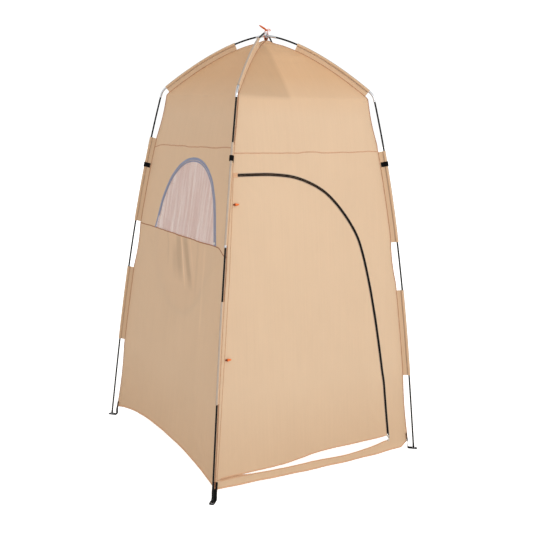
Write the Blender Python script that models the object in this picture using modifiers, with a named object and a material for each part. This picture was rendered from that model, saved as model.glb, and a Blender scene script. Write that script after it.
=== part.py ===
"""Privacy shower tent, 1.20 x 1.20 m on the floor and 2.10 m tall.

Two sprung poles cross over the peak, each bent over two shoulder elbows and
standing in two corner eyelets. The canopy hangs inside them on corner sleeves,
pole straps and a cord tied round the crossing. The front wall is a zipped
door, the left wall has a mesh window with a zipped inner flap.

Origin: floor level under the peak. -Y is the front (door), -X the left side
(window), +Z up. Units are metres.

Corners are fl, fr, br, bl: front left, front right, back right, back left.
"""

import math

import bmesh
import bpy
from mathutils import Matrix, Vector

ROOT2 = math.sqrt(2.0)

# ---------------------------------------------------------- shape of the tent
FOOT_HALF = 0.602       # pole foot to the centre planes
FOOT_R = FOOT_HALF * ROOT2
LEG_LEAN = 0.1158       # lean of a leg where it meets the floor
LEG_BOW = 0.0159        # cubic bow of the sprung leg
SHOULDER_Z = 1.812      # where leg and roof lines would meet
ELBOW_FROM_Z = 1.794    # the shoulder elbow starts to bend here
ELBOW_TO_R = 0.528      # and is straight again here
PEAK_Z = 2.090          # centre of the lower pole at the crossing
CROSS_RISE = 0.014      # the other pole passes over it
ROOF_POWER = 1.55       # shape of the roof arch
SEAM_INSET = 0.030      # pole centre to the corner seam of the canopy
LEG_ROWS = (0.0, 0.36, 0.62, 0.82, 1.06, 1.32, 1.51, ELBOW_FROM_Z)    # heights
ROOF_ROWS = (0.42, 0.33, 0.24, 0.16, 0.09, 0.045, 0.020, 0.0)         # distances from the axis
# The canopy drawn up to its loop: (distance from the axis, height)
TIP = ((0.045, 2.053), (0.020, 2.063), (0.0, 2.070))

CLOTH = 0.0012          # canopy sheet
EDGE_GAP = 0.0045       # sheet edge to the corner seam line
SEAM_GAP = 0.0007       # panel edge to a level seam
BAND_Z = 1.537          # seam between roof band and walls
MID_Z = 1.114           # seam across the window wall

CORNERS = {"fl": (-1, -1), "fr": (1, -1), "br": (1, 1), "bl": (-1, 1)}
WALLS = {  # name: (outward, rightward as seen from outside)
    "front": (Vector((0, -1, 0)), Vector((1, 0, 0))),
    "right": (Vector((1, 0, 0)), Vector((0, 1, 0))),
    "back": (Vector((0, 1, 0)), Vector((-1, 0, 0))),
    "left": (Vector((-1, 0, 0)), Vector((0, -1, 0))),
}
COLOURS = {  # name: (colour, roughness, metallic)
    "tan polyester": ((0.52, 0.40, 0.27), 0.75, 0.0),
    "fibreglass": ((0.03, 0.03, 0.035), 0.35, 0.0),
    "steel": ((0.62, 0.63, 0.65), 0.30, 1.0),
    "webbing": ((0.02, 0.02, 0.022), 0.80, 0.0),
    "zip": ((0.05, 0.05, 0.055), 0.60, 0.0),
    "zip tape": ((0.33, 0.36, 0.40), 0.70, 0.0),
    "mesh": ((0.80, 0.72, 0.68), 0.90, 0.0),
    "orange": ((0.85, 0.22, 0.05), 0.50, 0.0),
    "elastic": ((0.75, 0.75, 0.72), 0.80, 0.0),
    "brown": ((0.16, 0.09, 0.05), 0.80, 0.0),
}

for old in list(bpy.data.objects):
    bpy.data.objects.remove(old, do_unlink=True)
PARTS = bpy.data.collections.new("privacy_shower_tent")
TOOLS = bpy.data.collections.new("cutters")
for made in (PARTS, TOOLS):
    bpy.context.scene.collection.children.link(made)


# ------------------------------------------------------------- making objects
# In all of these a piece given no colour is a helper for a boolean.
def material(name):
    colour, roughness, metallic = COLOURS[name]
    made = bpy.data.materials.new(name)
    made.use_nodes = True
    shader = made.node_tree.nodes["Principled BSDF"]
    shader.inputs["Base Color"].default_value = (*colour, 1)
    shader.inputs["Roughness"].default_value = roughness
    shader.inputs["Metallic"].default_value = metallic
    return made


def add(name, bm, colour=None, smooth=False):
    """A finished bmesh as an object of its own."""
    bmesh.ops.remove_doubles(bm, verts=bm.verts, dist=1e-6)
    bmesh.ops.recalc_face_normals(bm, faces=bm.faces)
    mesh = bpy.data.meshes.new(name)
    bm.to_mesh(mesh)
    bm.free()
    obj = bpy.data.objects.new(name, mesh)
    if colour is None:
        TOOLS.objects.link(obj)
        obj.hide_render = True
        obj.display_type = "WIRE"
    else:
        PARTS.objects.link(obj)
        mesh.materials.append(material(colour))
    if smooth:
        mesh.shade_smooth()
        mesh.set_sharp_from_angle(angle=math.radians(40))
    return obj


def combine(obj, tool, operation):
    joint = obj.modifiers.new(f"{operation.lower()} {tool.name}", "BOOLEAN")
    joint.operation = operation
    joint.object = tool


def box(name, low, high, colour=None):
    bm = bmesh.new()
    bmesh.ops.create_cube(bm, size=1.0)
    low, high = Vector(low), Vector(high)
    for vert in bm.verts:
        vert.co = Vector(((low[i] + high[i]) / 2 + vert.co[i] * (high[i] - low[i]))
                         for i in range(3))
    return add(name, bm, colour)


def upright_cylinder(name, radius, low_z, high_z, centre):
    """A round helper standing at a plan position."""
    bm = bmesh.new()
    bmesh.ops.create_cone(bm, cap_ends=True, segments=16, radius1=radius, radius2=radius,
                          depth=high_z - low_z)
    for vert in bm.verts:
        vert.co += Vector((centre[0], centre[1], (low_z + high_z) / 2))
    return add(name, bm)


def swept(name, sections, colour=None):
    """A loft through closed sections that have the same number of points."""
    bm = bmesh.new()
    loops = [[bm.verts.new(point) for point in section] for section in sections]
    count = len(loops[0])
    for near, far in zip(loops, loops[1:]):
        for k in range(count):
            m = (k + 1) % count
            bm.faces.new((near[k], near[m], far[m], far[k]))
    bm.faces.new(loops[0])
    bm.faces.new(loops[-1])
    return add(name, bm, colour)


def cord(name, points, radius, closed=False, colour=None):
    """A cord: a curve with a round bevel, made a mesh so that it can be joined."""
    data = bpy.data.curves.new(name, "CURVE")
    data.dimensions = "3D"
    data.bevel_depth, data.bevel_resolution = radius, 1
    data.use_fill_caps = not closed
    spline = data.splines.new("POLY")
    spline.points.add(len(points) - 1)
    for point, place in zip(spline.points, points):
        point.co = (*place, 1)
    spline.use_cyclic_u = closed
    curve = bpy.data.objects.new(name + "_line", data)
    TOOLS.objects.link(curve)
    bpy.context.view_layer.update()
    evaluated = curve.evaluated_get(bpy.context.evaluated_depsgraph_get())
    mesh = bpy.data.meshes.new_from_object(evaluated)
    bpy.data.objects.remove(curve)
    bm = bmesh.new()
    bm.from_mesh(mesh)
    return add(name, bm, colour, smooth=True)


def axes_at(origin, x, y, z):
    matrix = Matrix((x, y, z)).transposed().to_4x4()
    matrix.translation = origin
    return matrix


def pivot(obj, matrix):
    """Give an object its origin and directions at a joint, leaving its shape where it is."""
    obj.data.transform(matrix.inverted())
    obj.matrix_world = matrix


def place(obj, matrix):
    """Move an object together with the helpers of its booleans."""
    obj.matrix_world = matrix
    for modifier in obj.modifiers:
        modifier.object.matrix_world = matrix


# -------------------------------------------------------------- lines on paper
def through(points, steps):
    """A smooth line (Catmull-Rom) through the given points."""
    ends = [tuple(2 * a - b for a, b in zip(points[0], points[1])), *points,
            tuple(2 * a - b for a, b in zip(points[-1], points[-2]))]
    line = [Vector(points[0])]
    for i in range(1, len(ends) - 2):
        before, start, end, after = (Vector(point) for point in ends[i - 1:i + 3])
        for k in range(1, steps + 1):
            t = k / steps
            line.append(0.5 * ((2 * start) + (end - before) * t
                               + (2 * before - 5 * start + 4 * end - after) * t**2
                               + (3 * start - before - 3 * end + after) * t**3))
    return line


def chord(line, i):
    """From the point before to the point after, or the end's own where there is none."""
    return line[min(i + 1, len(line) - 1)] - line[max(i - 1, 0)]


def beside(line, distance):
    """The line moved sideways: positive is to its left."""
    moved = []
    for i, point in enumerate(line):
        ahead = chord(line, i).normalized()
        moved.append(point + Vector((-ahead.y, ahead.x)) * distance)
    return moved


def leg_r(z):
    return FOOT_R - LEG_LEAN * z - LEG_BOW * z**3


def profile(peak):
    """(distance from the tent's axis, height) of a pole from its foot to the peak."""
    shoulder_r = leg_r(SHOULDER_Z)
    drop = (peak - SHOULDER_Z) / shoulder_r**ROOF_POWER

    def roof_point(radius):
        return Vector((radius, peak - drop * radius**ROOF_POWER))

    leg = [Vector((leg_r(z), z)) for z in LEG_ROWS]
    first, corner, last = leg[-1], Vector((shoulder_r, SHOULDER_Z)), roof_point(ELBOW_TO_R)
    elbow = [(1 - t)**2 * first + 2 * t * (1 - t) * corner + t**2 * last
             for t in (0.25, 0.5, 0.75, 1.0)]
    return leg + elbow + [roof_point(radius) for radius in ROOF_ROWS]


def seam_profile():
    """The canopy's corner seam: the lower pole's line moved inwards, ending in the tip."""
    inset = beside(profile(PEAK_Z), SEAM_INSET)
    return inset[:-len(TIP)] + [Vector(point) for point in TIP]


SEAM = seam_profile()


# -------------------------------------------------------------- the pole lines
class PoleLine:
    """The centre line of one whole pole, measured from the foot in the named corner."""

    def __init__(self, corner):
        x, y = CORNERS[corner]
        self.side = Vector((-y, x, 0)) / ROOT2
        half = profile(PEAK_Z + (CROSS_RISE if x == y else 0.0))
        flat = half + [Vector((-point.x, point.y)) for point in reversed(half[:-1])]

        def upright(line):
            return [Vector((x * point.x / ROOT2, y * point.x / ROOT2, point.y))
                    for point in line]

        self.points = upright(flat)
        self.seam = upright(SEAM)
        self.lengths = [0.0]
        for low, high in zip(self.points, self.points[1:]):
            self.lengths.append(self.lengths[-1] + (high - low).length)
        self.peak = self.lengths[len(half) - 1]

    def locate(self, length):
        """The segment a distance falls in, and how far along the segment it is."""
        i = 0
        while i < len(self.lengths) - 2 and self.lengths[i + 1] < length - 1e-7:
            i += 1
        return i, (length - self.lengths[i]) / (self.lengths[i + 1] - self.lengths[i])

    def at(self, length):
        """Centre and direction; at a bend the direction is the mean of both sides."""
        i, part = self.locate(length)
        centre = self.points[i].lerp(self.points[i + 1], part)
        ahead = (self.points[i + 1] - self.points[i]).normalized()
        if part > 1 - 1e-4 and i + 2 < len(self.points):
            ahead = (ahead + (self.points[i + 2] - self.points[i + 1]).normalized()).normalized()
        return centre, ahead

    def seam_at(self, length):
        i, part = self.locate(length)
        return self.seam[i].lerp(self.seam[i + 1], part)

    def rows(self, start, end):
        """The distances to use between two points: both ends and every bend."""
        low, high = min(start, end), max(start, end)
        inner = [length for length in self.lengths if low + 1e-4 < length < high - 1e-4]
        return [start, *(inner if start < end else reversed(inner)), end]

    def find(self, value, measures):
        """The distance at which a measure of the points first reaches a value."""
        for i, (near, far) in enumerate(zip(measures, measures[1:])):
            if min(near, far) <= value <= max(near, far):
                step = self.lengths[i + 1] - self.lengths[i]
                return self.lengths[i] + step * (value - near) / (far - near)

    def at_z(self, z):
        return self.find(z, [point.z for point in self.points])

    def at_r(self, radius):
        return self.find(radius, [point.xy.length for point in self.points])


LINES = {corner: PoleLine(corner) for corner in CORNERS}


def turned(name, line, stations, colour, sides=8):
    """A round body on a bent line: (distance, radius) up the outside and back down the bore.
    Radius 0 closes an end; without one the body is an open tube."""
    path = []
    closed = stations[0][1] > 0
    for (start, start_r), (end, end_r) in zip(stations, stations[1:] + stations[:closed]):
        if abs(end - start) < 1e-9:
            path.append((start, start_r))
            continue
        for length in line.rows(start, end)[:-1]:
            part = (length - start) / (end - start)
            path.append((length, start_r + (end_r - start_r) * part))
    if not closed:
        path.append(stations[-1])
    bm = bmesh.new()
    rings = []
    for length, radius in path:
        centre, ahead = line.at(length)
        normal = ahead.cross(line.side)
        if radius == 0:
            rings.append([bm.verts.new(centre)])
            continue
        angles = (math.tau * k / sides for k in range(sides))
        rings.append([bm.verts.new(centre + radius * (math.cos(angle) * normal
                                                      + math.sin(angle) * line.side))
                      for angle in angles])
    for near, far in list(zip(rings, rings[1:])) + ([(rings[-1], rings[0])] if closed else []):
        for k in range(sides):
            m = (k + 1) % sides
            verts = [near[k % len(near)], near[m % len(near)],
                     far[m % len(far)], far[k % len(far)]]
            bm.faces.new(list(dict.fromkeys(verts)))
    add(name, bm, colour, smooth=True)


def tube(name, line, start, end, radius, bore, colour):
    turned(name, line, [(start, radius), (end, radius), (end, bore), (start, bore)], colour)


# ------------------------------------------------------------------- the poles
ROD_R, ROD_BORE = 0.00425, 0.0024       # fibreglass rod, 8.5 mm
TUBE_R, TUBE_BORE = 0.0055, 0.00455     # ferrules, elbows and apex tubes, 11 mm
FERRULE_HALF = 0.030
JOINT_GAP = 0.0003
LOWER_JOINT_Z, UPPER_JOINT_Z = 0.585, 1.160
ELBOW_BELOW, ELBOW_BEYOND = 0.016, 0.030    # elbow tube past each end of the bend
LEG_IN_ELBOW, ROOF_IN_TUBE = 0.014, 0.022   # how far the rods reach into the steel tubes
APEX_HALF = 0.055
# The foot of a leg: distances along the pole, and radii
PIN_FROM, PIN_TO, COLLAR_TO, BORE_FROM = 0.0008, 0.0035, 0.022, 0.026
PIN_TIP_R, PIN_R, COLLAR_R = 0.0020, 0.0024, 0.0050
CORD_R, CORD_FROM = 0.0012, 0.030           # shock cord, and its start above each foot


def ferruled_end(joint):
    """Stations of a rod's upper end with the ferrule on it, ending in the rod's bore."""
    start, end = joint - FERRULE_HALF, joint + FERRULE_HALF
    return [(start, ROD_R), (start, TUBE_R), (end, TUBE_R), (end, TUBE_BORE),
            (joint, TUBE_BORE), (joint, ROD_BORE)]


def pole_side(corner, line):
    """One leg in three lengths, its shoulder elbow and its roof rod."""
    low, high = line.at_z(LOWER_JOINT_Z), line.at_z(UPPER_JOINT_Z)
    elbow_from = line.at_z(ELBOW_FROM_Z) - ELBOW_BELOW
    elbow_to = line.at_r(ELBOW_TO_R) + ELBOW_BEYOND
    foot = [(PIN_FROM, 0), (PIN_FROM, PIN_TIP_R), (PIN_TO, PIN_R), (PIN_TO, COLLAR_R),
            (COLLAR_TO, COLLAR_R), (COLLAR_TO, ROD_R)]
    turned(f"leg_{corner}_lower", line,
           [*foot, *ferruled_end(low), (BORE_FROM, ROD_BORE), (BORE_FROM, 0)], "fibreglass")
    turned(f"leg_{corner}_middle", line,
           [(low + JOINT_GAP, ROD_R), *ferruled_end(high), (low + JOINT_GAP, ROD_BORE)],
           "fibreglass")
    tube(f"leg_{corner}_upper", line, high + JOINT_GAP, elbow_from + LEG_IN_ELBOW,
         ROD_R, ROD_BORE, "fibreglass")
    tube(f"shoulder_elbow_{corner}", line, elbow_from, elbow_to, TUBE_R, TUBE_BORE, "steel")
    tube(f"roof_rod_{corner}", line, elbow_to - ROOF_IN_TUBE,
         line.peak - APEX_HALF + ROOF_IN_TUBE, ROD_R, ROD_BORE, "fibreglass")


def pole_middle(name, line):
    """The straightening tube at the crossing, and the cord through the whole pole."""
    tube(f"apex_tube_{name}", line, line.peak - APEX_HALF, line.peak + APEX_HALF,
         TUBE_R, TUBE_BORE, "steel")
    end = 2 * line.peak - CORD_FROM
    turned(f"shock_cord_{name}", line,
           [(CORD_FROM, 0), (CORD_FROM, CORD_R), (end, CORD_R), (end, 0)], "elastic", sides=5)


for corner, line in LINES.items():
    pole_side(corner, line)
pole_middle("over", LINES["fl"])
pole_middle("under", LINES["fr"])

# --------------------------------------------- corner sleeves, straps and feet
SLEEVE_R, SLEEVE_WALL = 0.0064, 0.0010
SLEEVES = {             # corner: (lower sleeve, upper sleeve, middle of the strap), heights
    "fl": ((0.443, 0.896), (1.140, 1.583), 1.515),
    "fr": ((0.399, 0.846), (1.092, 1.543), 1.480),
    "br": ((0.430, 0.872), (1.118, 1.570), 1.470),
    "bl": ((0.455, 0.870), (1.127, 1.573), 1.429),
}
ROOF_SLEEVE_R = (0.525, 0.160)
STRIP_FROM_Z, STRIP_TO_R = 0.040, 0.105     # the strip along the corner seam
STRIP_IN, STRIP_OUT, STRIP_HALF = -0.005, 0.0035, 0.0017
STRAP_WIDTH = 0.024
# Floor strap: (distance past the foot, height, half width, half thickness outwards, upwards)
FOOT_STRAP = ((-0.050, 0.0300, 0.013, 0.00062, 0.00051), (-0.026, 0.0008, 0.013, 0.00030, 0.0008),
              (0.012, 0.0008, 0.013, 0.0, 0.0008), (0.019, 0.0008, 0.007, 0.0, 0.0008))
EYELET_R, EYELET_Z = 0.0076, (0.0004, 0.0024)
EYELET_HOLE_R, EYELET_HOLE_Z = 0.0034, (-0.002, 0.005)


def wrap(name, line, start, end, radius, wall, part, stop, colour=None):
    """Cloth folded round a pole: a loop at the pole and two layers running in to the seam.
    part is half the space between the layers, stop the distance left to the seam line."""
    arc = 8     # steps round the loop
    sections = []
    for length in line.rows(start, end):
        centre, _ = line.at(length)
        out = centre - line.seam_at(length)
        reach = out.length - stop
        out.normalize()
        ring = []
        for loop_r, half, way in ((radius + wall, part + wall, 1), (radius, part, -1)):
            root = math.pi - math.asin(half / loop_r)
            angles = (root - 2 * root * k / arc for k in range(arc + 1))
            face = [(-reach, half),
                    *((loop_r * math.cos(angle), loop_r * math.sin(angle)) for angle in angles),
                    (-reach, -half)]
            ring += face[::way]
        sections.append([centre + out * outward + line.side * across
                         for outward, across in ring])
    return swept(name, sections, colour)


def corner_sleeve(corner, line):
    """A strip along the corner seam with three loops round the pole."""
    seam = [line.seam_at(length)
            for length in line.rows(line.at_z(STRIP_FROM_Z), line.at_r(STRIP_TO_R))]
    outward_up = Vector((*CORNERS[corner], 0)) / ROOT2 + Vector((0, 0, 1))
    sections = []
    for i, point in enumerate(seam):
        out = chord(seam, i).normalized().cross(line.side)
        if out.dot(outward_up) < 0:
            out.negate()
        sections.append([point + out * outward + line.side * across for outward, across in
                         ((STRIP_IN, -STRIP_HALF), (STRIP_OUT, -STRIP_HALF),
                          (STRIP_OUT, STRIP_HALF), (STRIP_IN, STRIP_HALF))])
    sleeve = swept(f"corner_sleeve_{corner}", sections, "tan polyester")
    lower, upper, _ = SLEEVES[corner]
    spans = [[line.at_z(z) for z in lower], [line.at_z(z) for z in upper],
             [line.at_r(radius) for radius in ROOF_SLEEVE_R]]
    for k, (start, end) in enumerate(spans):
        loop = wrap(f"sleeve_loop_{corner}_{k}", line, start, end,
                    radius=SLEEVE_R, wall=SLEEVE_WALL, part=0.0004, stop=-0.001)
        combine(sleeve, loop, "UNION")


def pole_strap(corner, line):
    middle = line.at_z(SLEEVES[corner][2])
    wrap(f"pole_strap_{corner}", line, middle - STRAP_WIDTH / 2, middle + STRAP_WIDTH / 2,
         radius=0.0086, wall=0.0012, part=0.0019, stop=0.006, colour="webbing")


def corner_strap(corner, line):
    """The strap down from the canopy's corner to the floor, with the pole's eyelet."""
    out = Vector((*CORNERS[corner], 0)) / ROOT2
    sections = []
    for past, z, half, thick_out, thick_up in FOOT_STRAP:
        sections.append([out * (FOOT_R + past + face * thick_out)
                         + Vector((0, 0, z + face * thick_up)) + line.side * across
                         for face, across in ((-1, -half), (-1, half), (1, half), (1, -half))])
    strap = swept(f"corner_strap_{corner}", sections, "webbing")
    centre = (out * FOOT_R).xy
    combine(strap, upright_cylinder(f"eyelet_{corner}", EYELET_R, *EYELET_Z, centre), "UNION")
    combine(strap, upright_cylinder(f"eyelet_hole_{corner}", EYELET_HOLE_R, *EYELET_HOLE_Z,
                                    centre), "DIFFERENCE")


for corner, line in LINES.items():
    corner_sleeve(corner, line)
    pole_strap(corner, line)
    corner_strap(corner, line)


# ------------------------------------------------------------- cloth on a wall
# A place on a wall is (distance right of its middle seen from outside, height).
def wall_half(z):
    """Half the canopy's width at a height, along the seam line."""
    for low, high in zip(SEAM, SEAM[1:]):
        if z <= high.y or high is SEAM[-1]:
            return (low.x + (high.x - low.x) * (z - low.y) / (high.y - low.y)) / ROOT2


def on_wall(wall, across, z, off=0.0):
    """The point in space, off measured outwards from the wall."""
    out, right = WALLS[wall]
    return right * across + out * (wall_half(z) + off) + Vector((0, 0, z))


def sheet(name, wall, outlines, colour="tan polyester", thickness=CLOTH, off=0.0):
    """A cloth panel: flat outlines laid on one wall of the tent and given a thickness."""
    bm = bmesh.new()
    for outline in outlines:
        bm.faces.new([bm.verts.new((across, 0, z)) for across, z in outline])
    bmesh.ops.remove_doubles(bm, verts=bm.verts, dist=1e-6)
    for bend in SEAM[1:-1]:
        bmesh.ops.bisect_plane(bm, geom=[*bm.verts, *bm.edges, *bm.faces], dist=1e-7,
                               plane_co=(0, 0, bend.y), plane_no=(0, 0, 1))
    for vert in bm.verts:
        vert.co = on_wall(wall, vert.co.x, vert.co.z, off)
    obj = add(name, bm, colour)
    skin = obj.modifiers.new("cloth", "SOLIDIFY")
    skin.thickness = thickness
    skin.offset = 0
    skin.use_even_offset = True
    return obj


def edge(sign, start, end):
    """The side of a panel that follows the corner seam, from one height to another."""
    rows = [point.y for point in SEAM
            if min(start, end) + 1e-6 < point.y < max(start, end) - 1e-6]
    if start > end:
        rows.reverse()
    return [(sign * (wall_half(z) - EDGE_GAP), z) for z in [start, *rows, end]]


# ------------------------------------------------------ canopy and plain walls
ROOF_TOP_R = 0.009      # corner seam to the axis at the top edge of a roof panel
HEM_CORNER_Z, HEM_MID_Z = 0.050, 0.121
HEM_POWER = 2.4
HEM_STEPS = 10
WALL_TOP_Z = BAND_Z - SEAM_GAP
ROOF_LOW_Z = BAND_Z + SEAM_GAP
ROOF_TOP_Z = SEAM[-2].y + (SEAM[-1].y - SEAM[-2].y) * (1 - ROOF_TOP_R / SEAM[-2].x)


def hem():
    """The curved lower edge of a wall, left to right."""
    half = wall_half(HEM_CORNER_Z) - EDGE_GAP
    for k in range(HEM_STEPS + 1):
        t = -1 + 2 * k / HEM_STEPS
        yield t * half, HEM_MID_Z - (HEM_MID_Z - HEM_CORNER_Z) * abs(t)**HEM_POWER


def hemmed_outline(top):
    """A full-width panel from the hem up to a level seam."""
    return [*hem(), *edge(1, HEM_CORNER_Z, top)[1:], *edge(-1, top, HEM_CORNER_Z)[:-1]]


for wall in WALLS:
    sheet(f"roof_panel_{wall}", wall,
          [[*edge(-1, ROOF_LOW_Z, ROOF_TOP_Z), *edge(1, ROOF_TOP_Z, ROOF_LOW_Z)]])
for wall in ("right", "back"):
    sheet(f"{wall}_wall", wall, [hemmed_outline(WALL_TOP_Z)])
sheet("left_lower_panel", "left", [hemmed_outline(MID_Z - SEAM_GAP)])

# ------------------------------------------------------------------ the window
ZIP_THICK = 0.0020
MESH_THICK = 0.0010
WINDOW_BASE = (-0.283, 0.360)   # where the arch's two ends stand, across the wall
WINDOW_BASE_Z = MID_Z + 0.004
WINDOW_BEND = (                 # (across, height) over the arch
    (-0.242, 1.258), (-0.226, 1.293), (-0.203, 1.332), (-0.158, 1.390), (-0.095, 1.441),
    (-0.020, 1.472), (0.060, 1.483), (0.130, 1.474), (0.184, 1.450), (0.2255, 1.418),
    (0.2625, 1.377), (0.298, 1.316), (0.3225, 1.2526))
# Edges measured outwards from the arch line
PANEL_OUT, ZIP_OUT, ZIP_IN, MESH_OUT, FLAP_OUT = 0.0112, 0.0104, 0.0012, -0.0014, -0.002
FLAP_OFF = -0.010               # the flap lies inside the wall
FLAP_Z = MID_Z - 0.004          # its origin
FLAP_FOLD_Z = FLAP_Z + 0.003    # the arch is mirrored about this height
FLAP_BASE_Z = FLAP_Z + 0.008    # base of the arch before mirroring

arch = [Vector((WINDOW_BASE[0], WINDOW_BASE_Z)), *through(WINDOW_BEND, 4),
        Vector((WINDOW_BASE[1], WINDOW_BASE_Z))]


def arch_at(distance, base=MID_Z + SEAM_GAP):
    """The window's outline moved outwards, its ends run on down to the base line."""
    moved = beside(arch, distance)
    for end, near in ((0, 1), (-1, -2)):
        (near_x, near_z), (end_x, end_z) = moved[near], moved[end]
        moved[end] = (near_x + (end_x - near_x) * (base - near_z) / (end_z - near_z), base)
    return moved


window_low_z = MID_Z + SEAM_GAP
sheet("left_window_panel", "left",
      [[*edge(-1, window_low_z, WALL_TOP_Z), *edge(1, WALL_TOP_Z, window_low_z),
        *reversed(arch_at(PANEL_OUT))]])
sheet("window_zip", "left", [[*arch_at(ZIP_OUT), *reversed(arch_at(ZIP_IN))]],
      "zip tape", ZIP_THICK)
sheet("window_mesh", "left", [arch_at(MESH_OUT)], "mesh", MESH_THICK)
flap = sheet("window_flap", "left",
             [[(across, 2 * FLAP_FOLD_Z - z) for across, z in arch_at(FLAP_OUT, FLAP_BASE_Z)]],
             off=FLAP_OFF)
pivot(flap, Matrix.Translation(on_wall("left", 0.0, FLAP_Z, FLAP_OFF)))

# -------------------------------------------------------- front frame and door
# Outlines and lines: (across, height)
SILL_LOW = ((-0.525, 0.0430), (-0.360, 0.0360), (-0.100, 0.0220), (0.0, 0.0175),
            (0.226, 0.0105), (0.525, 0.0115))
SILL_TOP = ((-0.552, 0.0834), (-0.430, 0.0820), (-0.295, 0.0726), (-0.154, 0.0652),
            (0.0, 0.0598), (0.147, 0.0500), (0.291, 0.0540), (0.420, 0.0695))
SILL_CORNERS = (0.046, 0.036)       # heights of the left and right lower corners
SILL_END_Z = 0.0690                 # frame under the foot of the zip
DOOR_ZIP_FROM = (-0.402, 1.440)
DOOR_ZIP_BEND = ((-0.203, 1.438), (-0.053, 1.412), (0.097, 1.335), (0.229, 1.186),
                 (0.297, 1.035), (0.363, 0.729), (0.4165, 0.375))
DOOR_ZIP_TO = (0.4454, 0.077)
DOOR_HEM = ((-0.430, 0.0868), (-0.225, 0.0830), (-0.110, 0.0895), (-0.006, 0.0975),
            (0.110, 0.0975), (0.2265, 0.0945))
DOOR_CORNER_IN, DOOR_CORNER_Z = 0.0015, 0.0925      # lower right corner of the door
ZIP_GAP, ZIP_HALF = 0.0009, 0.0058  # inner and outer edge of each half, from the zip line
ZIP_CLEAR = 0.0065                  # cloth edge to the zip line
ZIP_SHORT = 0.027                   # the door's half ends this far above the other
FRAME_SPLIT_X = -0.30               # the frame is drawn in two, parted near here at the top
DOOR_TOP_Z, DOOR_LOW_Z = DOOR_ZIP_FROM[1] - ZIP_CLEAR, 0.0880
HINGE_INSET = (0.0110, 0.0085)      # corner seam to the door's sewn edge, at its foot and top
HINGE_GAP = 0.0008                  # sewn edge to the cloth on each side
HINGE_FOOT_Z = 0.0825               # foot of the frame's edge along the hinge
HINGE_OFF = 0.0115                  # hinge axis outside the wall
NEAR_ZERO = 1e-6


def hinge_x(z):
    """The door's sewn edge, a straight line beside the left corner seam."""
    low = wall_half(DOOR_LOW_Z) - HINGE_INSET[0]
    top = wall_half(DOOR_TOP_Z) - HINGE_INSET[1]
    return -(low + (top - low) * (z - DOOR_LOW_Z) / (DOOR_TOP_Z - DOOR_LOW_Z))


def front_frame():
    """The cloth round the door: a left and a right outline, with the sill below."""
    outer = beside(zip_line, ZIP_CLEAR)
    split = min(range(len(outer)), key=lambda i: abs(outer[i].x - FRAME_SPLIT_X))
    split_top = (outer[split].x, WALL_TOP_Z)
    sill_top, sill_low = through(SILL_TOP, 2), through(SILL_LOW, 2)
    low_left = [point for point in sill_low if point.x <= NEAR_ZERO]
    low_right = [point for point in sill_low if point.x > NEAR_ZERO]
    left = [*reversed(low_left), *edge(-1, SILL_CORNERS[0], WALL_TOP_Z), split_top,
            *reversed(outer[:split + 1]),
            (hinge_x(DOOR_TOP_Z) - HINGE_GAP, outer[0].y),
            (hinge_x(HINGE_FOOT_Z) - HINGE_GAP, HINGE_FOOT_Z),
            *(point for point in sill_top if point.x <= NEAR_ZERO)]
    right = [low_left[-1], *(point for point in sill_top if point.x >= -NEAR_ZERO),
             (outer[-1].x, SILL_END_Z), *reversed(outer[split:]), split_top,
             *edge(1, WALL_TOP_Z, SILL_CORNERS[1]), *reversed(low_right)]
    sheet("front_wall_frame", "front", [left, right])


def door_panel():
    inner = beside(zip_line, -ZIP_CLEAR)
    return sheet("door_panel", "front",
                 [[(hinge_x(DOOR_LOW_Z) + HINGE_GAP, DOOR_LOW_Z),
                   (hinge_x(DOOR_TOP_Z) + HINGE_GAP, DOOR_TOP_Z), *inner[:-1],
                   (inner[-1].x - DOOR_CORNER_IN, DOOR_CORNER_Z),
                   *reversed(through(DOOR_HEM, 2))]])


def hinge_axes():
    """Z up the hinge line, X towards the zip, Y into the tent."""
    low, top = (on_wall("front", hinge_x(z), z, HINGE_OFF) for z in (DOOR_LOW_Z, DOOR_TOP_Z))
    up = (top - low).normalized()
    across = (Vector((1, 0, 0)) - up * up.x).normalized()
    return axes_at(low, across, up.cross(across), up)


def door_zip_half(name, line, start, end):
    """A strip between two distances to the left of the line."""
    outline = [*beside(line, start), *reversed(beside(line, end))]
    return sheet(name, "front", [outline], "zip", ZIP_THICK)


zip_line = through((DOOR_ZIP_FROM, *DOOR_ZIP_BEND), 4) + [Vector(DOOR_ZIP_TO)]
front_frame()
door_axes = hinge_axes()
pivot(door_panel(), door_axes)
door_zip_half("door_zip_frame_side", zip_line, ZIP_GAP, ZIP_HALF)
zip_up = (zip_line[-2] - zip_line[-1]).normalized()
short_line = zip_line[:-1] + [zip_line[-1] + zip_up * ZIP_SHORT]
pivot(door_zip_half("door_zip_door_side", short_line, -ZIP_HALF, -ZIP_GAP), door_axes)

# --------------------------------------------------------- sliders and toggles
# Slider boxes (low, high) about its centre: X across the zip, Y along it, Z out of the wall
SLIDER_FRONT = ((-0.0048, -0.0055, 0.0015), (0.0048, 0.0055, 0.0030))
SLIDER_REST = (
    ("back", (-0.0048, -0.0055, -0.0030), (0.0048, 0.0055, -0.0015), "UNION"),
    ("post", (-0.0005, -0.0050, -0.0025), (0.0005, 0.0050, 0.0025), "UNION"),
    ("bail", (-0.0009, -0.0045, 0.0025), (0.0009, 0.0040, 0.0062), "UNION"),
    ("eye", (-0.002, -0.0033, 0.0034), (0.002, 0.0028, 0.0052), "DIFFERENCE"))
PULL_BAR = (0, -0.0005, 0.0043)     # the bar the pull turns on, from the slider's centre
PULL_TAB = ((-0.0030, -0.0260, -0.0005), (0.0030, 0.0005, 0.0005))
PULL_WINDOW = ((-0.0016, -0.0062, -0.002), (0.0016, -0.0006, 0.002))
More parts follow.
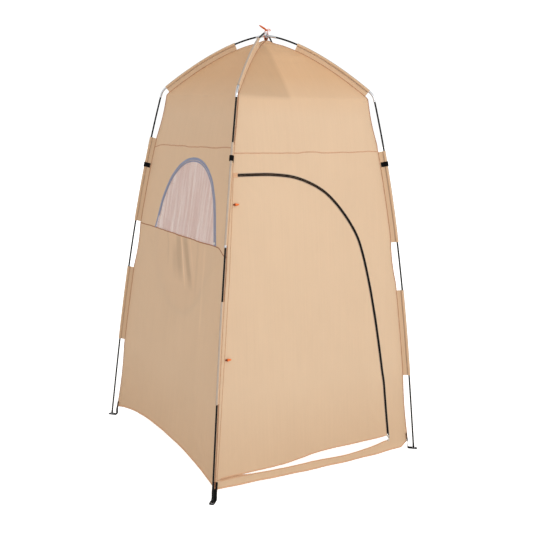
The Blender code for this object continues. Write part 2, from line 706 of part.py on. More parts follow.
# Toggle outlines turned about Z from the sewn end: (radius, height)
HORN = ((0.0, 0.0), (0.0011, 0.0), (0.0011, -0.0035), (0.0052, -0.0045), (0.0062, -0.0070),
        (0.0058, -0.0120), (0.0042, -0.0200), (0.0024, -0.0265), (0.0, -0.0280))
BARREL = ((0.0, 0.0), (0.0010, 0.0), (0.0010, -0.0140), (0.0028, -0.0155), (0.0028, -0.0405),
          (0.0018, -0.0420), (0.0, -0.0420))
DOOR_TOGGLE_IN, DOOR_TOGGLE_OFF = 0.0015, 0.0076
WINDOW_TOGGLE_Z, WINDOW_TOGGLE_OFF = 1.156, -0.0045
SLOPE_STEP = 0.03                   # height over which a toggle takes the wall's slope


def slider(name, wall, line, start):
    """A zip slider, start above the line's last point: two plates joined by a post that
    runs between the zip's halves, with a bail in front."""
    end, before = on_wall(wall, *line[-1]), on_wall(wall, *line[-2])
    y = (before - end).normalized()
    z = WALLS[wall][1].cross(y)
    matrix = axes_at(end + y * start, y.cross(z).normalized(), y, z.normalized())
    body = box(name, *SLIDER_FRONT, "steel")
    for part, low, high, operation in SLIDER_REST:
        combine(body, box(f"{name}_{part}", low, high), operation)
    place(body, matrix)
    return matrix


def pull(name, slider_axes):
    """The tab that hangs in the slider's bail, its origin on the bar it turns on."""
    tab = box(name, *PULL_TAB, "steel")
    combine(tab, box(f"{name}_window", *PULL_WINDOW), "DIFFERENCE")
    place(tab, slider_axes @ Matrix.Translation(PULL_BAR))


def toggle(name, wall, across, z, outline, off, lying=False):
    """A turned toggle on its cord, hung down or lying across the wall: origin at the sewn end."""
    mesh = bpy.data.meshes.new(name)
    mesh.from_pydata([(radius, 0, height) for radius, height in outline],
                     [(i, i + 1) for i in range(len(outline) - 1)], [])
    obj = bpy.data.objects.new(name, mesh)
    PARTS.objects.link(obj)
    mesh.materials.append(material("orange"))
    turn = obj.modifiers.new("turn", "SCREW")
    turn.steps = turn.render_steps = 8
    turn.use_merge_vertices = True
    turn.merge_threshold = 1e-5
    turn.use_smooth_shade = True
    right = WALLS[wall][1]
    here, below = on_wall(wall, across, z, off), on_wall(wall, across, z - SLOPE_STEP, off)
    up = (here - below).normalized()
    if lying:
        obj.matrix_world = axes_at(here, up, up.cross(right), -right)
    else:
        obj.matrix_world = axes_at(here, right, up.cross(right), up)


pull("door_slider_pull", slider("door_slider", "front", zip_line, 0.0125))
slider("window_slider", "left", arch, 0.010)
for level, z in (("upper", 1.313), ("lower", 0.630)):
    toggle(f"door_toggle_{level}", "front", hinge_x(z) + DOOR_TOGGLE_IN, z, HORN,
           DOOR_TOGGLE_OFF, lying=True)
for end, across in (("left", -0.126), ("right", 0.197)):
    toggle(f"window_toggle_{end}", "left", across, WINDOW_TOGGLE_Z, BARREL, WINDOW_TOGGLE_OFF)

# ----------------------------------------------------------------- at the peak
TIE_HALF = 0.0118               # the cord's ring, half its width along X
TIE_LOW_Z, TIE_TOP_Z = 2.0725, 2.1150
TIE_POWER = 0.7                 # squares the ring: 1 would be an ellipse
TIE_STEPS = 16
TIE_R, TAIL_R = 0.0015, 0.0013
KNOT_R, KNOT_Z = 0.0048, 2.1180
TAIL = ((-0.001, 0.001, 2.1190), (-0.012, 0.004, 2.1255), (-0.024, 0.007, 2.1300),
        (-0.036, 0.009, 2.1400))
LOOP = ((-0.0060, -0.0080, 2.0678), (0.0060, 0.0080, 2.0832))
LOOP_HOLE = ((-0.010, -0.0065, 2.0694), (0.010, 0.0065, 2.0818))


def squared(value):
    return math.copysign(abs(value)**TIE_POWER, value)


def knot():
    bm = bmesh.new()
    bmesh.ops.create_uvsphere(bm, u_segments=10, v_segments=6, radius=KNOT_R)
    for vert in bm.verts:
        vert.co += Vector((0, 0, KNOT_Z))
    return add("tie_knot", bm)


def apex_tie():
    """The cord round the crossing, with its knot and one loose end."""
    angles = [math.tau * k / TIE_STEPS for k in range(TIE_STEPS)]
    middle, half = 0.5 * (TIE_LOW_Z + TIE_TOP_Z), 0.5 * (TIE_TOP_Z - TIE_LOW_Z)
    ring = [(TIE_HALF * squared(math.cos(angle)), 0.0, middle + half * squared(math.sin(angle)))
            for angle in angles]
    tie = cord("apex_tie_cord", ring, TIE_R, closed=True, colour="orange")
    combine(tie, knot(), "UNION")
    combine(tie, cord("tie_tail", TAIL, TAIL_R), "UNION")


def apex_loop():
    """The canopy's loop at the top, open along X."""
    loop = box("apex_loop", *LOOP, "brown")
    combine(loop, box("apex_loop_hole", *LOOP_HOLE), "DIFFERENCE")


apex_tie()
apex_loop()
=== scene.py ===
"""Looks of a privacy shower tent, built round its frame.

Metres, +Z up: the floor is z = 0 and the peak stands over the origin. The door is in the front
wall (-Y) and the window in the left wall (-X). Most pieces ride on a body of the frame; the door's
and the window flap's pieces are left unattached.

Walls are laid out in cloth coordinates, so that sheets, seams, hems and zips share one surface:
`across` runs from the wall's middle to the right as seen from outside, and `along` runs up the
corner seam from the floor. Outlines are measured as (across, z) and turned to (across, along).
"""

import math

import bpy
import bmesh
import numpy as np
from mathutils import Matrix, Vector
from mathutils.geometry import delaunay_2d_cdt
from mathutils.kdtree import KDTree


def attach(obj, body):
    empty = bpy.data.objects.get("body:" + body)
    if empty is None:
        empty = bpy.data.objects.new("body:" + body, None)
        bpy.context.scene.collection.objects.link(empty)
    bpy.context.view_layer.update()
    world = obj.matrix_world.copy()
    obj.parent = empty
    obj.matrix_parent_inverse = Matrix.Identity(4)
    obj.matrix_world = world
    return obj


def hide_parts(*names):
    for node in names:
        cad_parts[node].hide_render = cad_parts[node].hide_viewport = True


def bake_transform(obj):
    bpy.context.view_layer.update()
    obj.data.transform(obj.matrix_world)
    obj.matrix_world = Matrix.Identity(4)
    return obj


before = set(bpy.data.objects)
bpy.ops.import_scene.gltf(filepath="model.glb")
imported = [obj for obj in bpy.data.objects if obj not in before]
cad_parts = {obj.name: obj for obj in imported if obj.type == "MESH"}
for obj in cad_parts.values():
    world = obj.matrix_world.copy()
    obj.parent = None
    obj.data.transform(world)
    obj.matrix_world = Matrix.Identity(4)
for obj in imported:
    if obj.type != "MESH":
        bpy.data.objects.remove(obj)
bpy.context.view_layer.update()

# ------------------------------------------------------------ shape of the tent
ROOT2 = math.sqrt(2.0)
FOOT_HALF = 0.602               # half the distance between neighbouring feet
FOOT_R = FOOT_HALF * ROOT2
LEG_LEAN, LEG_BOW = 0.1158, 0.0159
SHOULDER_Z, ELBOW_FROM_Z, ELBOW_TO_R = 1.812, 1.794, 0.528
PEAK_Z = 2.090
CROSS_RISE = 0.014              # one pole passes over the other at the peak
ROOF_POWER = 1.55
SEAM_INSET = 0.030              # from the poles in to the canopy's corner seams
CONE_FROM_R = (0.135, 0.090)    # radii where the seam begins to rise to its loop
CONE_TIP = ((0.045, 2.053), (0.020, 2.063), (0.0, 2.070))   # radius, z
ROD_R, TUBE_R = 0.00425, 0.0055
LOWER_JOINT_Z, UPPER_JOINT_Z, FERRULE_HALF = 0.585, 1.160, 0.030
BAND_Z, MID_Z = 1.537, 1.114    # heights of the level seams
HEM_CORNER_Z, HEM_MID_Z = 0.050, 0.121
POLE_STEP = 0.004
CORNERS = {"fl": (-1, -1), "fr": (1, -1), "br": (1, 1), "bl": (-1, 1)}   # signs of x and y
# wall: (outward direction, direction of `across`)
WALLS = {
    "front": (np.array((0, -1.0, 0)), np.array((1.0, 0, 0))),
    "right": (np.array((1.0, 0, 0)), np.array((0, 1.0, 0))),
    "back": (np.array((0, 1.0, 0)), np.array((-1.0, 0, 0))),
    "left": (np.array((-1.0, 0, 0)), np.array((0, -1.0, 0))),
}
UP = np.array((0, 0, 1.0))
X_AXIS, Y_AXIS = (1.0, 0, 0), (0, 1.0, 0)
SEED = {"front": 11, "right": 23, "back": 37, "left": 53}
UV_SHIFT = {wall: seed * 0.37 for wall, seed in SEED.items()}


# ---------------------------------------------------------------- lines
def unit(vectors):
    return vectors / np.linalg.norm(vectors, axis=-1, keepdims=True)


def tangents(line):
    return unit(np.gradient(line, axis=0))


def distances(line):
    """Distance of each point from the line's start."""
    return np.concatenate([[0], np.cumsum(np.linalg.norm(np.diff(line, axis=0), axis=1))])


def through(points, steps=10):
    """A smooth line through the points, with `steps` parts between neighbours."""
    knots = np.asarray(points, float)
    knots = np.concatenate([[2 * knots[0] - knots[1]], knots, [2 * knots[-1] - knots[-2]]])
    line = [knots[1]]
    for before, start, end, after in zip(knots, knots[1:], knots[2:], knots[3:]):
        for k in range(1, steps + 1):
            part = k / steps
            line.append(0.5 * (2 * start + (end - before) * part
                               + (2 * before - 5 * start + 4 * end - after) * part**2
                               + (3 * start - before - 3 * end + after) * part**3))
    return np.array(line)


def resample(line, step):
    line = np.asarray(line, float)
    run = distances(line)
    at = np.linspace(0, run[-1], max(2, int(round(run[-1] / step)) + 1))
    return np.stack([np.interp(at, run, line[:, k]) for k in range(line.shape[1])], 1)


def beside(line, distance):
    """A flat line moved to its left."""
    run = tangents(line)
    return line + np.stack([-run[:, 1], run[:, 0]], 1) * distance


def ease(x, start, end):
    """0 at start to 1 at end, smoothly."""
    part = np.clip((x - start) / (end - start), 0, 1)
    return part * part * (3 - 2 * part)


def leg_r(z):
    return FOOT_R - LEG_LEAN * z - LEG_BOW * z**3


def profile(peak):
    """(radius, z) along a pole from the floor to the peak: leg, elbow and roof."""
    shoulder_r = leg_r(SHOULDER_Z)
    drop = (peak - SHOULDER_Z) / shoulder_r**ROOF_POWER

    def roof_at(radius):
        return np.stack([radius, peak - drop * radius**ROOF_POWER], -1)

    z = np.linspace(0, ELBOW_FROM_Z, 45)
    leg = np.stack([leg_r(z), z], 1)
    corner = np.array((shoulder_r, SHOULDER_Z))
    part = np.linspace(0, 1, 13)[1:, None]
    elbow = ((1 - part)**2 * leg[-1] + 2 * part * (1 - part) * corner
             + part**2 * roof_at(ELBOW_TO_R))
    return np.concatenate([leg, elbow, roof_at(ELBOW_TO_R * (1 - np.linspace(0, 1, 41)[1:]))])


def seam_line():
    """The canopy's corner seam: the pole's line moved in, then drawn up in a small cone."""
    pole = profile(PEAK_Z)
    seam = beside(pole, SEAM_INSET)
    seam[-1] = pole[-1] - (0, SEAM_INSET)
    knots = [(r, *(np.interp(-r, -pole[:, 0], seam[:, k]) for k in range(2)))
             for r in CONE_FROM_R]
    curve = through([*knots, *((r, r, z) for r, z in CONE_TIP)], 12)
    near = pole[:, 0] <= CONE_FROM_R[1]
    for k in range(2):
        seam[near, k] = np.interp(-pole[near, 0], -curve[:, 0], curve[:, k + 1])
    return seam


CORNER_SEAM = seam_line()
# the seam carried on below the floor, as matching lists of half width, height and `along`
LONG_SEAM = np.concatenate([[CORNER_SEAM[0] + (CORNER_SEAM[0] - CORNER_SEAM[1]) * 0.4],
                            CORNER_SEAM])
SEAM_HALF, SEAM_Z = LONG_SEAM[:, 0] / ROOT2, LONG_SEAM[:, 1]
SEAM_ALONG = np.concatenate([[0], np.cumsum(np.hypot(np.diff(SEAM_HALF), np.diff(SEAM_Z)))])
SEAM_ALONG -= np.interp(0.0, SEAM_Z, SEAM_ALONG)
TOP_ALONG = SEAM_ALONG[-1]


def along_at(z):
    return np.interp(z, SEAM_Z, SEAM_ALONG)


def half_at(along):
    return np.interp(along, SEAM_ALONG, SEAM_HALF)


def z_at(along):
    return np.interp(along, SEAM_ALONG, SEAM_Z)


def wall_half(z):
    return half_at(along_at(z))


def cloth(points):
    """(across, z) pairs to cloth coordinates."""
    points = np.asarray(points, float)
    return np.stack([points[:, 0], along_at(points[:, 1])], 1)


# ---------------------------------------------------------------- surface of the cloth
NOISE_TABLES = {}


def wave_noise(x, y, seed):
    """Smooth value noise in -1..1, the same each run."""
    if seed not in NOISE_TABLES:
        NOISE_TABLES[seed] = np.random.RandomState(seed).rand(128, 128) * 2 - 1
    table = NOISE_TABLES[seed]
    col, row = np.floor(x).astype(int), np.floor(y).astype(int)
    x, y = x - col, y - row
    x, y = (v**3 * (v * (v * 6 - 15) + 10) for v in (x, y))
    low = table[col % 128, row % 128] * (1 - x) + table[(col + 1) % 128, row % 128] * x
    high = (table[col % 128, (row + 1) % 128] * (1 - x)
            + table[(col + 1) % 128, (row + 1) % 128] * x)
    return low * (1 - y) + high * y


# bare spans between the pole sleeves, where the edge draws in: from z, to z, depth
GAPS = ((0.07, 0.425, 0.004), (0.875, 1.115, 0.005), (1.575, 1.790, 0.0045))

# soft folds; the noise is sampled at (across * a + along * b + c, along * d + e)
# columns: depth, a, b, c, d, e, part of the wall
FOLDS = (
    (0.0035, 3.1, 0, 7, 2.3, 0, "all"),
    (0.0016, 8.0, 0, 0, 3.2, 3, "all"),
    # long upright folds where the cloth is a little slack across
    (0.0010, 26, 2.0, 0, 1.9, 0, "low"),
    (0.00045, 60, -3.0, 0, 4.0, 0, "all"),
    # short level creases drawn up to the peak
    (0.0016, 9.0, 0, 0, 58.0, 0, "peak"),
    (0.0010, 6.0, 0, 0, 30.0, 0, "roof"),
)

# pulls in the cloth: across, z, direction of the fan in degrees, reach, depth, folds
PLAIN_FANS = ((0.565, 0.05, 120, 0.42, 0.0045, 8), (-0.565, 0.05, 60, 0.42, 0.0045, 8),
              (0.44, 1.49, 215, 0.26, 0.0028, 6), (-0.44, 1.49, -35, 0.26, 0.0028, 6))
FANS = {
    "front": ((-0.565, 0.05, 62, 0.34, 0.0042, 7), (0.565, 0.05, 118, 0.36, 0.0045, 7),
              (0.445, 0.10, 125, 0.30, 0.0035, 8), (-0.40, 1.440, -35, 0.22, 0.0030, 6),
              (0.44, 1.49, 215, 0.22, 0.0026, 6), (-0.44, 1.49, -35, 0.18, 0.0022, 6)),
    "left": ((0.565, 0.05, 120, 0.42, 0.0050, 8), (-0.565, 0.05, 60, 0.42, 0.0050, 8),
             (0.47, 1.09, 215, 0.30, 0.0040, 6), (-0.46, 1.12, -35, 0.28, 0.0035, 6),
             (0.43, 1.49, 215, 0.22, 0.0026, 6), (-0.43, 1.49, -35, 0.22, 0.0026, 6)),
    "right": PLAIN_FANS,
    "back": PLAIN_FANS,
}

# lines where a fitting holds the cloth to its taut surface:
# across and z of the start, across and z of the end, held within, free from
HELD = {
    "front": ((0.4454, 0.077, 0.418, 0.36, 0.015, 0.085),
              (-0.433, 1.313, -0.405, 1.313, 0.010, 0.04),
              (-0.503, 0.630, -0.475, 0.630, 0.010, 0.04)),
    "left": ((0.360, 1.114, 0.3375, 1.2445, 0.012, 0.06),
             (-0.126, 1.156, -0.126, 1.112, 0.010, 0.055),
             (0.197, 1.156, 0.197, 1.112, 0.010, 0.055)),
}


def scallop(along):
    """How far the canopy's edge draws in between the pole sleeves."""
    z = z_at(along)
    total = np.zeros_like(z)
    for low, high, depth in GAPS:
        total += depth * np.sin(math.pi * np.clip((z - low) / (high - low), 0, 1))
    return total


def freedom(wall, across, z):
    """0 where a fitting holds the cloth taut, 1 where it is free."""
    free = np.ones_like(across)
    for across0, z0, across1, z1, near, far in HELD.get(wall, ()):
        dx, dz = across1 - across0, z1 - z0
        part = ((across - across0) * dx + (z - z0) * dz) / (dx * dx + dz * dz + 1e-12)
        part = np.clip(part, 0, 1)
        gap = np.hypot(across - across0 - part * dx, z - z0 - part * dz)
        free *= ease(gap, near, far)
    return free


def relief(wall, across, along):
    """How far the cloth stands out of its taut surface: sag, folds, creases and puckers."""
    ratio = across / np.maximum(half_at(along), 1e-4)
    z = z_at(along)
    seed = SEED[wall]
    edge = np.clip(1 - np.abs(ratio)**6, 0, 1)
    below_top = ease(z, 2.058, 1.95)
    wall_sag = ease(z, 0.0, 0.5) * ease(z, 1.85, 1.3)
    roof_sag = ease(z, 1.60, 1.80) * below_top * ease(z, 2.05, 1.9)
    parts = {"all": below_top,
             "low": (0.35 + 0.65 * ease(z, 1.2, 0.3)) * below_top,
             "peak": ease(z, 1.90, 2.03) * ease(z, 2.06, 2.045),
             "roof": ease(z, 1.84, 1.97) * below_top}
    out = -(1 - ratio * ratio) * (0.005 * wall_sag + 0.014 * roof_sag)
    for layer, (depth, a, b, c, d, e, part) in enumerate(FOLDS):
        fold = wave_noise(across * a + along * b + c, along * d + e, seed + layer)
        out += depth * fold * edge * parts[part]
    for across0, z0, angle, reach, depth, folds in FANS[wall]:
        dx, dy = across - across0, along - along_at(z0)
        far = np.hypot(dx, dy)
        turn = np.arctan2(dy, dx) - math.radians(angle)
        turn = np.arctan2(np.sin(turn), np.cos(turn))
        spread = np.exp(-(turn / 0.62)**2)
        fade = (far / reach) * np.exp(1 - far / (0.42 * reach)) * 0.55
        waver = 0.5 * wave_noise(far * 9, turn * 3, seed + 9)
        out += depth * spread * fade * np.sin(folds * turn * 2.3 + waver * 2) * edge
    # puckers along the level seams
    for seam_z, depth in ((BAND_Z, 0.0007), (MID_Z, 0.0008 if wall == "left" else 0.0)):
        near = np.exp(-(np.abs(z - seam_z) / 0.016)**1.3)
        out += depth * near * wave_noise(across * 75, along * 6, seed + 6) * edge
    return out * freedom(wall, across, z)


def place(wall, across, along, lift=0.0):
    """Points of a wall's cloth and its taut normals, from cloth coordinates."""
    out, right = WALLS[wall]
    half = np.maximum(half_at(along), 1e-5)
    draw = scallop(along)
    ratio = np.clip(np.abs(across) / half, 0, 1.2)
    step = 0.004
    d_half = half_at(along + step) - half_at(along - step)
    d_z = z_at(along + step) - z_at(along - step)
    length = np.hypot(d_half, d_z)
    normals = (d_z / length)[:, None] * out - (d_half / length)[:, None] * UP
    stand = lift + relief(wall, across, along)
    points = ((across * (1 - draw / half * ratio**5))[:, None] * right
              + (half - draw * ratio**6)[:, None] * out + z_at(along)[:, None] * UP)
    return points + normals * stand[:, None], normals


def cloth_points(wall, flat, lift=0.0, folds=0.0):
    points, normals = place(wall, flat[:, 0], flat[:, 1], lift)
    return points + normals * np.broadcast_to(folds, len(flat))[:, None]


def taut(wall, across, z, lift=0.0):
    """A point on the frame's own wall plane, without folds."""
    out, right = WALLS[wall]
    return right * across + out * (wall_half(z) + lift) + UP * z


# ---------------------------------------------------------------- mesh helpers
# a part is (vertices, faces, uvs)
def add_mesh(name, part, material, angle=None):
    """A smooth object; edges sharper than `angle` degrees stay sharp."""
    verts, faces, uv = part
    mesh = bpy.data.meshes.new(name)
    mesh.from_pydata([tuple(v) for v in verts], [], [tuple(f) for f in faces])
    mesh.update()
    mesh.materials.append(material)
    layer = mesh.uv_layers.new(name="cloth")
    loops = np.empty(len(mesh.loops), np.int32)
    mesh.loops.foreach_get("vertex_index", loops)
    layer.data.foreach_set("uv", np.asarray(uv, np.float32)[loops].ravel())
    mesh.shade_smooth()
    if angle:
        mesh.set_sharp_from_angle(angle=math.radians(angle))
    obj = bpy.data.objects.new(name, mesh)
    bpy.context.scene.collection.objects.link(obj)
    return obj


def merge(parts):
    verts, faces, uvs, base = [], [], [], 0
    for part_verts, part_faces, part_uv in parts:
        verts.append(np.asarray(part_verts))
        faces += [tuple(i + base for i in face) for face in part_faces]
        uvs.append(np.asarray(part_uv))
        base += len(part_verts)
    return np.concatenate(verts), faces, np.concatenate(uvs)


def build(name, material, parts, replaced, angle, weld=0.0):
    """One object from its parts, its faces turned outward, with the given material."""
    obj = add_mesh(name, merge(parts), material, angle)
    bm = bmesh.new()
    bm.from_mesh(obj.data)
    if weld:
        bmesh.ops.remove_doubles(bm, verts=bm.verts, dist=weld)
    bmesh.ops.recalc_face_normals(bm, faces=bm.faces)
    bm.to_mesh(obj.data)
    bm.free()
    if replaced:
        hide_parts(*replaced)
    return obj


def piece(name, slot, material, parts, *replaced, body="tent", angle=60, weld=0.0):
    """An object that rides on one body and stands in for the frame pieces it replaces."""
    obj = build(name, material, parts, replaced, angle, weld)
    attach(obj, body)
    return obj


def cross_axes(points):
    """A steady pair of cross directions along a line."""
    run = tangents(points)
    side = np.cross(run[0], UP)
    if np.linalg.norm(side) < 1e-3:
        side = np.cross(run[0], Y_AXIS)
    sides = []
    for direction in run:
        side = unit(side - direction * (side @ direction))
        sides.append(side)
    sides = np.array(sides)
    return sides, np.cross(run, sides)


def sweep(points, first, second, section, closed=False):
    """A section swept on a line: (a, b) offsets on the two directions, or one set per point."""
    points = np.asarray(points, float)
    section = np.asarray(section, float)
    if section.ndim == 2:
        section = np.broadcast_to(section, (len(points), *section.shape))
    first, second = (np.broadcast_to(axis, points.shape)[:, None, :] for axis in (first, second))
    count, sides = len(points), section.shape[1]
    verts = points[:, None, :] + section[:, :, 0:1] * first + section[:, :, 1:2] * second
    faces = []
    for i in range(count if closed else count - 1):
        j = (i + 1) % count
        for k in range(sides):
            after = (k + 1) % sides
            faces.append((i * sides + k, i * sides + after, j * sides + after, j * sides + k))
    if not closed:
        faces.append(tuple(range(sides))[::-1])
        faces.append(tuple(range((count - 1) * sides, count * sides)))
    uv = np.stack([np.repeat(distances(points), sides), section[:, :, 0].reshape(-1)], 1)
    return verts.reshape(-1, 3), faces, uv


def ring(radius, sides):
    turn = np.arange(sides) * math.tau / sides
    return np.stack([np.cos(turn), np.sin(turn)], 1) * radius


def rings(radii, sides):
    """A circular section for each radius."""
    return ring(1, sides)[None] * np.asarray(radii)[:, None, None]


def tube(points, radius, sides=12):
    points = np.asarray(points, float)
    first, second = cross_axes(points)
    return sweep(points, first, second, rings(np.broadcast_to(radius, len(points)), sides))


def flat_section(width, thick):
    """A strap's section: flat, with rounded edges."""
    half_width, half_thick = width / 2, thick / 2
    radius = min(half_thick, half_width) * 0.95
    points = []
    for centre, start in ((half_width - radius, -90), (-(half_width - radius), 90)):
        for k in range(5):
            turn = math.radians(start + 180 * k / 4)
            points.append((centre + radius * math.cos(turn), half_thick * math.sin(turn)))
    return points


def arc_band(first_r, second_r, degrees):
    """A section between two arcs about one centre."""
    turn = np.radians(degrees)
    arc = np.stack([np.cos(turn), np.sin(turn)], 1)
    return np.concatenate([arc * first_r, arc[::-1] * second_r])


def follow(wall, line, lift=0.0):
    """Points, tangents and sideways directions of an (across, z) line laid on a wall."""
    points, normals = place(wall, line[:, 0], along_at(line[:, 1]), lift)
    run = tangents(points)
    return points, run, np.cross(normals, run)


def wall_tape(wall, line, width, thick, lift=0.0, step=0.006):
    """A tape sewn along an (across, z) line of a wall, following the cloth's relief."""
    points, run, side = follow(wall, resample(line, step), lift)
    side = unit(side)
    return sweep(points, side, np.cross(run, side), flat_section(width, thick))


def hem_tape(wall, line, width=0.010):
    """A binding that stands up from the cloth's lower edge."""
    points, run, side = follow(wall, resample(line, 0.006))
    side = unit(side)
    side[side[:, 2] < 0] *= -1
    section = np.array(flat_section(width, 0.0022)) + (width / 2 - 0.0010, 0)
    return sweep(points, side, np.cross(run, side), section)


def coil(wall, line, offset, radius, lift=0.0):
    """One half of a zip's coil: a bead beside the zip's line."""
    points, run, side = follow(wall, beside(line, offset), lift)
    return sweep(points, side, np.cross(run, side), ring(radius, 7))


def inside(points, outline):
    x, y = points[:, 0], points[:, 1]
    found = np.zeros(len(points), bool)
    for (x0, y0), (x1, y1) in zip(outline, np.roll(outline, -1, axis=0)):
        if y0 != y1:
            found ^= ((y0 > y) != (y1 > y)) & (x < (x1 - x0) * (y - y0) / (y1 - y0) + x0)
    return found


def tree_of(points):
    tree = KDTree(len(points))
    for i, (x, y) in enumerate(points):
        tree.insert((x, y, 0), i)
    tree.balance()
    return tree


def region(outline, holes, step, extra=()):
    """A fine triangle mesh of a flat outline with holes, through the extra points."""
    def within(found):
        keep = inside(found, outline)
        for hole in holes:
            keep &= ~inside(found, hole)
        return keep

    points, edges, border = [], [], []
    for loop in (outline, *holes):
        base, count = len(points), len(loop)
        points += [tuple(p) for p in loop]
        edges += [(base + i, base + (i + 1) % count) for i in range(count)]
    for start, end in ((points[i], points[j]) for i, j in edges):
        count = max(1, int(math.dist(start, end) / (step * 0.5)) + 1)
        border += [tuple(start[n] * (1 - k / count) + end[n] * (k / count) for n in range(2))
                   for k in range(count)]
    low, high = outline.min(0), outline.max(0)
    grid = []
    for i, y in enumerate(np.arange(low[1] + step * 0.4, high[1], step * 0.866)):
        x = np.arange(low[0] + step * (0.5 if i % 2 else 0.0), high[0], step)
        grid.append(np.stack([x, np.full(len(x), y)], 1))
    grid = np.concatenate(grid)
    grid = grid[within(grid)]
    tree = tree_of(border)
    grid = [g for g in grid if tree.find((g[0], g[1], 0))[2] > step * 0.52]
    if len(extra):
        tree = tree_of(extra)
        grid = [g for g in grid if tree.find((g[0], g[1], 0))[2] > step * 0.5]
    points += [tuple(p) for p in (*extra, *grid)]
    made = delaunay_2d_cdt([Vector(p) for p in points], edges, [], 0, 1e-7, False)
    verts = np.array([tuple(v) for v in made[0]])
    faces = np.array([f for f in made[2]], int)
    return verts, faces[within(verts[faces].mean(1))]


def axes_pose(x, y, z, origin):
    """A matrix with the given axes and origin."""
    pose = Matrix([tuple(axis) for axis in (x, y, z)]).transposed().to_4x4()
    pose.translation = Vector(origin)
    return pose


def posed(part, pose):
    """A part moved from a pose's own axes into the tent's."""
    verts, faces, uv = part
    turn = np.array(pose.to_3x3())
    return np.asarray(verts, float) @ turn.T + np.array(pose.translation), faces, uv


# ------------------------------------------------------------------- materials
def srgb(*channels):
    def linear(value):
        value /= 255
        return value / 12.92 if value <= 0.04045 else ((value + 0.055) / 1.055)**2.4
    return (*(linear(c) for c in channels), 1)


class Graph:
    """A short way to write node trees."""

    def __init__(self, tree):
        self.tree = tree

    def node(self, kind, **settings):
        node = self.tree.nodes.new(kind)
        for key, value in settings.items():
            setattr(node, key, value)
        return node

    def feed(self, socket, value):
        """Link a socket, or set it to a plain value."""
        if isinstance(value, bpy.types.NodeSocket):
            self.tree.links.new(value, socket)
        else:
            socket.default_value = value

    def math(self, operation, *values):
        node = self.node("ShaderNodeMath", operation=operation)
        for socket, value in zip(node.inputs, values):
            self.feed(socket, value)
        return node.outputs[0]

    def add(self, first, second):
        return self.math("ADD", first, second)

    def minus(self, first, second):
        return self.math("SUBTRACT", first, second)

    def times(self, first, second):
        return self.math("MULTIPLY", first, second)

    def absolute(self, value):
        return self.math("ABSOLUTE", value)

    def span(self, value, of=(0, 1), to=(0, 1), curve="LINEAR"):
        """Carries a value from one range to another."""
        node = self.node("ShaderNodeMapRange", interpolation_type=curve)
        for i, number in enumerate((*of, *to)):
            node.inputs[i + 1].default_value = number
        self.feed(node.inputs[0], value)
        return node.outputs[0]

    def mix_shader(self, share, first, second):
        node = self.node("ShaderNodeMixShader")
        for socket, value in zip(node.inputs, (share, first, second)):
            self.feed(socket, value)
        return node.outputs[0]


class Look(Graph):
    """A material and its node tree."""

    def __init__(self, name):
        self.material = bpy.data.materials.new(name)
        self.material.use_nodes = True
        super().__init__(self.material.node_tree)
        self.shader = self.tree.nodes["Principled BSDF"]

    def coords(self, scale=(1, 1, 1), source="UV"):
        mapping = self.node("ShaderNodeMapping")
        mapping.inputs["Scale"].default_value = scale
        self.feed(mapping.inputs["Vector"], self.node("ShaderNodeTexCoord").outputs[source])
        return mapping.outputs["Vector"]

    def uv(self):
        split = self.node("ShaderNodeSeparateXYZ")
        self.feed(split.inputs[0], self.coords())
        return split.outputs[0], split.outputs[1]

    def noise(self, scale, detail, rough=0.5, source="UV"):
        vector = self.coords(scale, source)
        node = self.node("ShaderNodeTexNoise")
        for key, value in (("Scale", 1.0), ("Detail", detail), ("Roughness", rough),
                           ("Vector", vector)):
            self.feed(node.inputs[key], value)
        return node.outputs["Fac"]

    def from_middle(self, value, pitch):
        """Distance from the middle of each repeat, 0 to 0.5."""
        part = self.math("FRACT", self.math("DIVIDE", value, pitch))
        return self.absolute(self.minus(part, 0.5))

    def mix(self, share, first, second):
        node = self.node("ShaderNodeMix", data_type="RGBA")
        for i, value in ((0, share), (6, first), (7, second)):
            self.feed(node.inputs[i], value)
        return node.outputs[2]

    def shade(self, colour, factor):
        """A colour times a factor."""
        node = self.node("ShaderNodeVectorMath", operation="SCALE")
        self.feed(node.inputs[0], colour[:3] if isinstance(colour, tuple) else colour)
        self.feed(node.inputs["Scale"], factor)
        return node.outputs[0]

    def bump(self, height, strength, distance):
        node = self.node("ShaderNodeBump")
        for key, value in (("Strength", strength), ("Distance", distance), ("Height", height)):
            self.feed(node.inputs[key], value)
        self.feed(self.shader.inputs["Normal"], node.outputs["Normal"])
        return node.outputs["Normal"]

    def base(self, colour, rough, metal=0.0, specular=0.5):
        for key, value in (("Base Color", colour), ("Roughness", rough), ("Metallic", metal),
                           ("Specular IOR Level", specular)):
            self.feed(self.shader.inputs[key], value)
        return self.shader.outputs[0]

    def translucent(self, colour, share, surface, normal=None):
        """A surface that lets a share of the light through."""
        light = self.node("ShaderNodeBsdfTranslucent")
        self.feed(light.inputs["Color"], colour)
        if normal:
            self.feed(light.inputs["Normal"], normal)
        return self.mix_shader(share, surface, light.outputs[0])

    def surface(self, socket):
        self.feed(self.tree.nodes["Material Output"].inputs["Surface"], socket)
        return self.material


CLOTH_COLOUR = srgb(223, 199, 170)
# the roof's colour: the same cloth, darker and warmer as painted shade
ROOF_SHADE_COLOUR = srgb(221, 186, 148)
LOW_COLOUR = srgb(214, 186, 155)
THROUGH_COLOUR = srgb(234, 200, 164)
# heights over which the wall's colour turns to the roof's darker colour of painted shade, and to
# the lower edge's darker tone
ROOF_BLEND_Z, LOW_BLEND_Z = (1.70, 1.90), (0.10, 0.45)
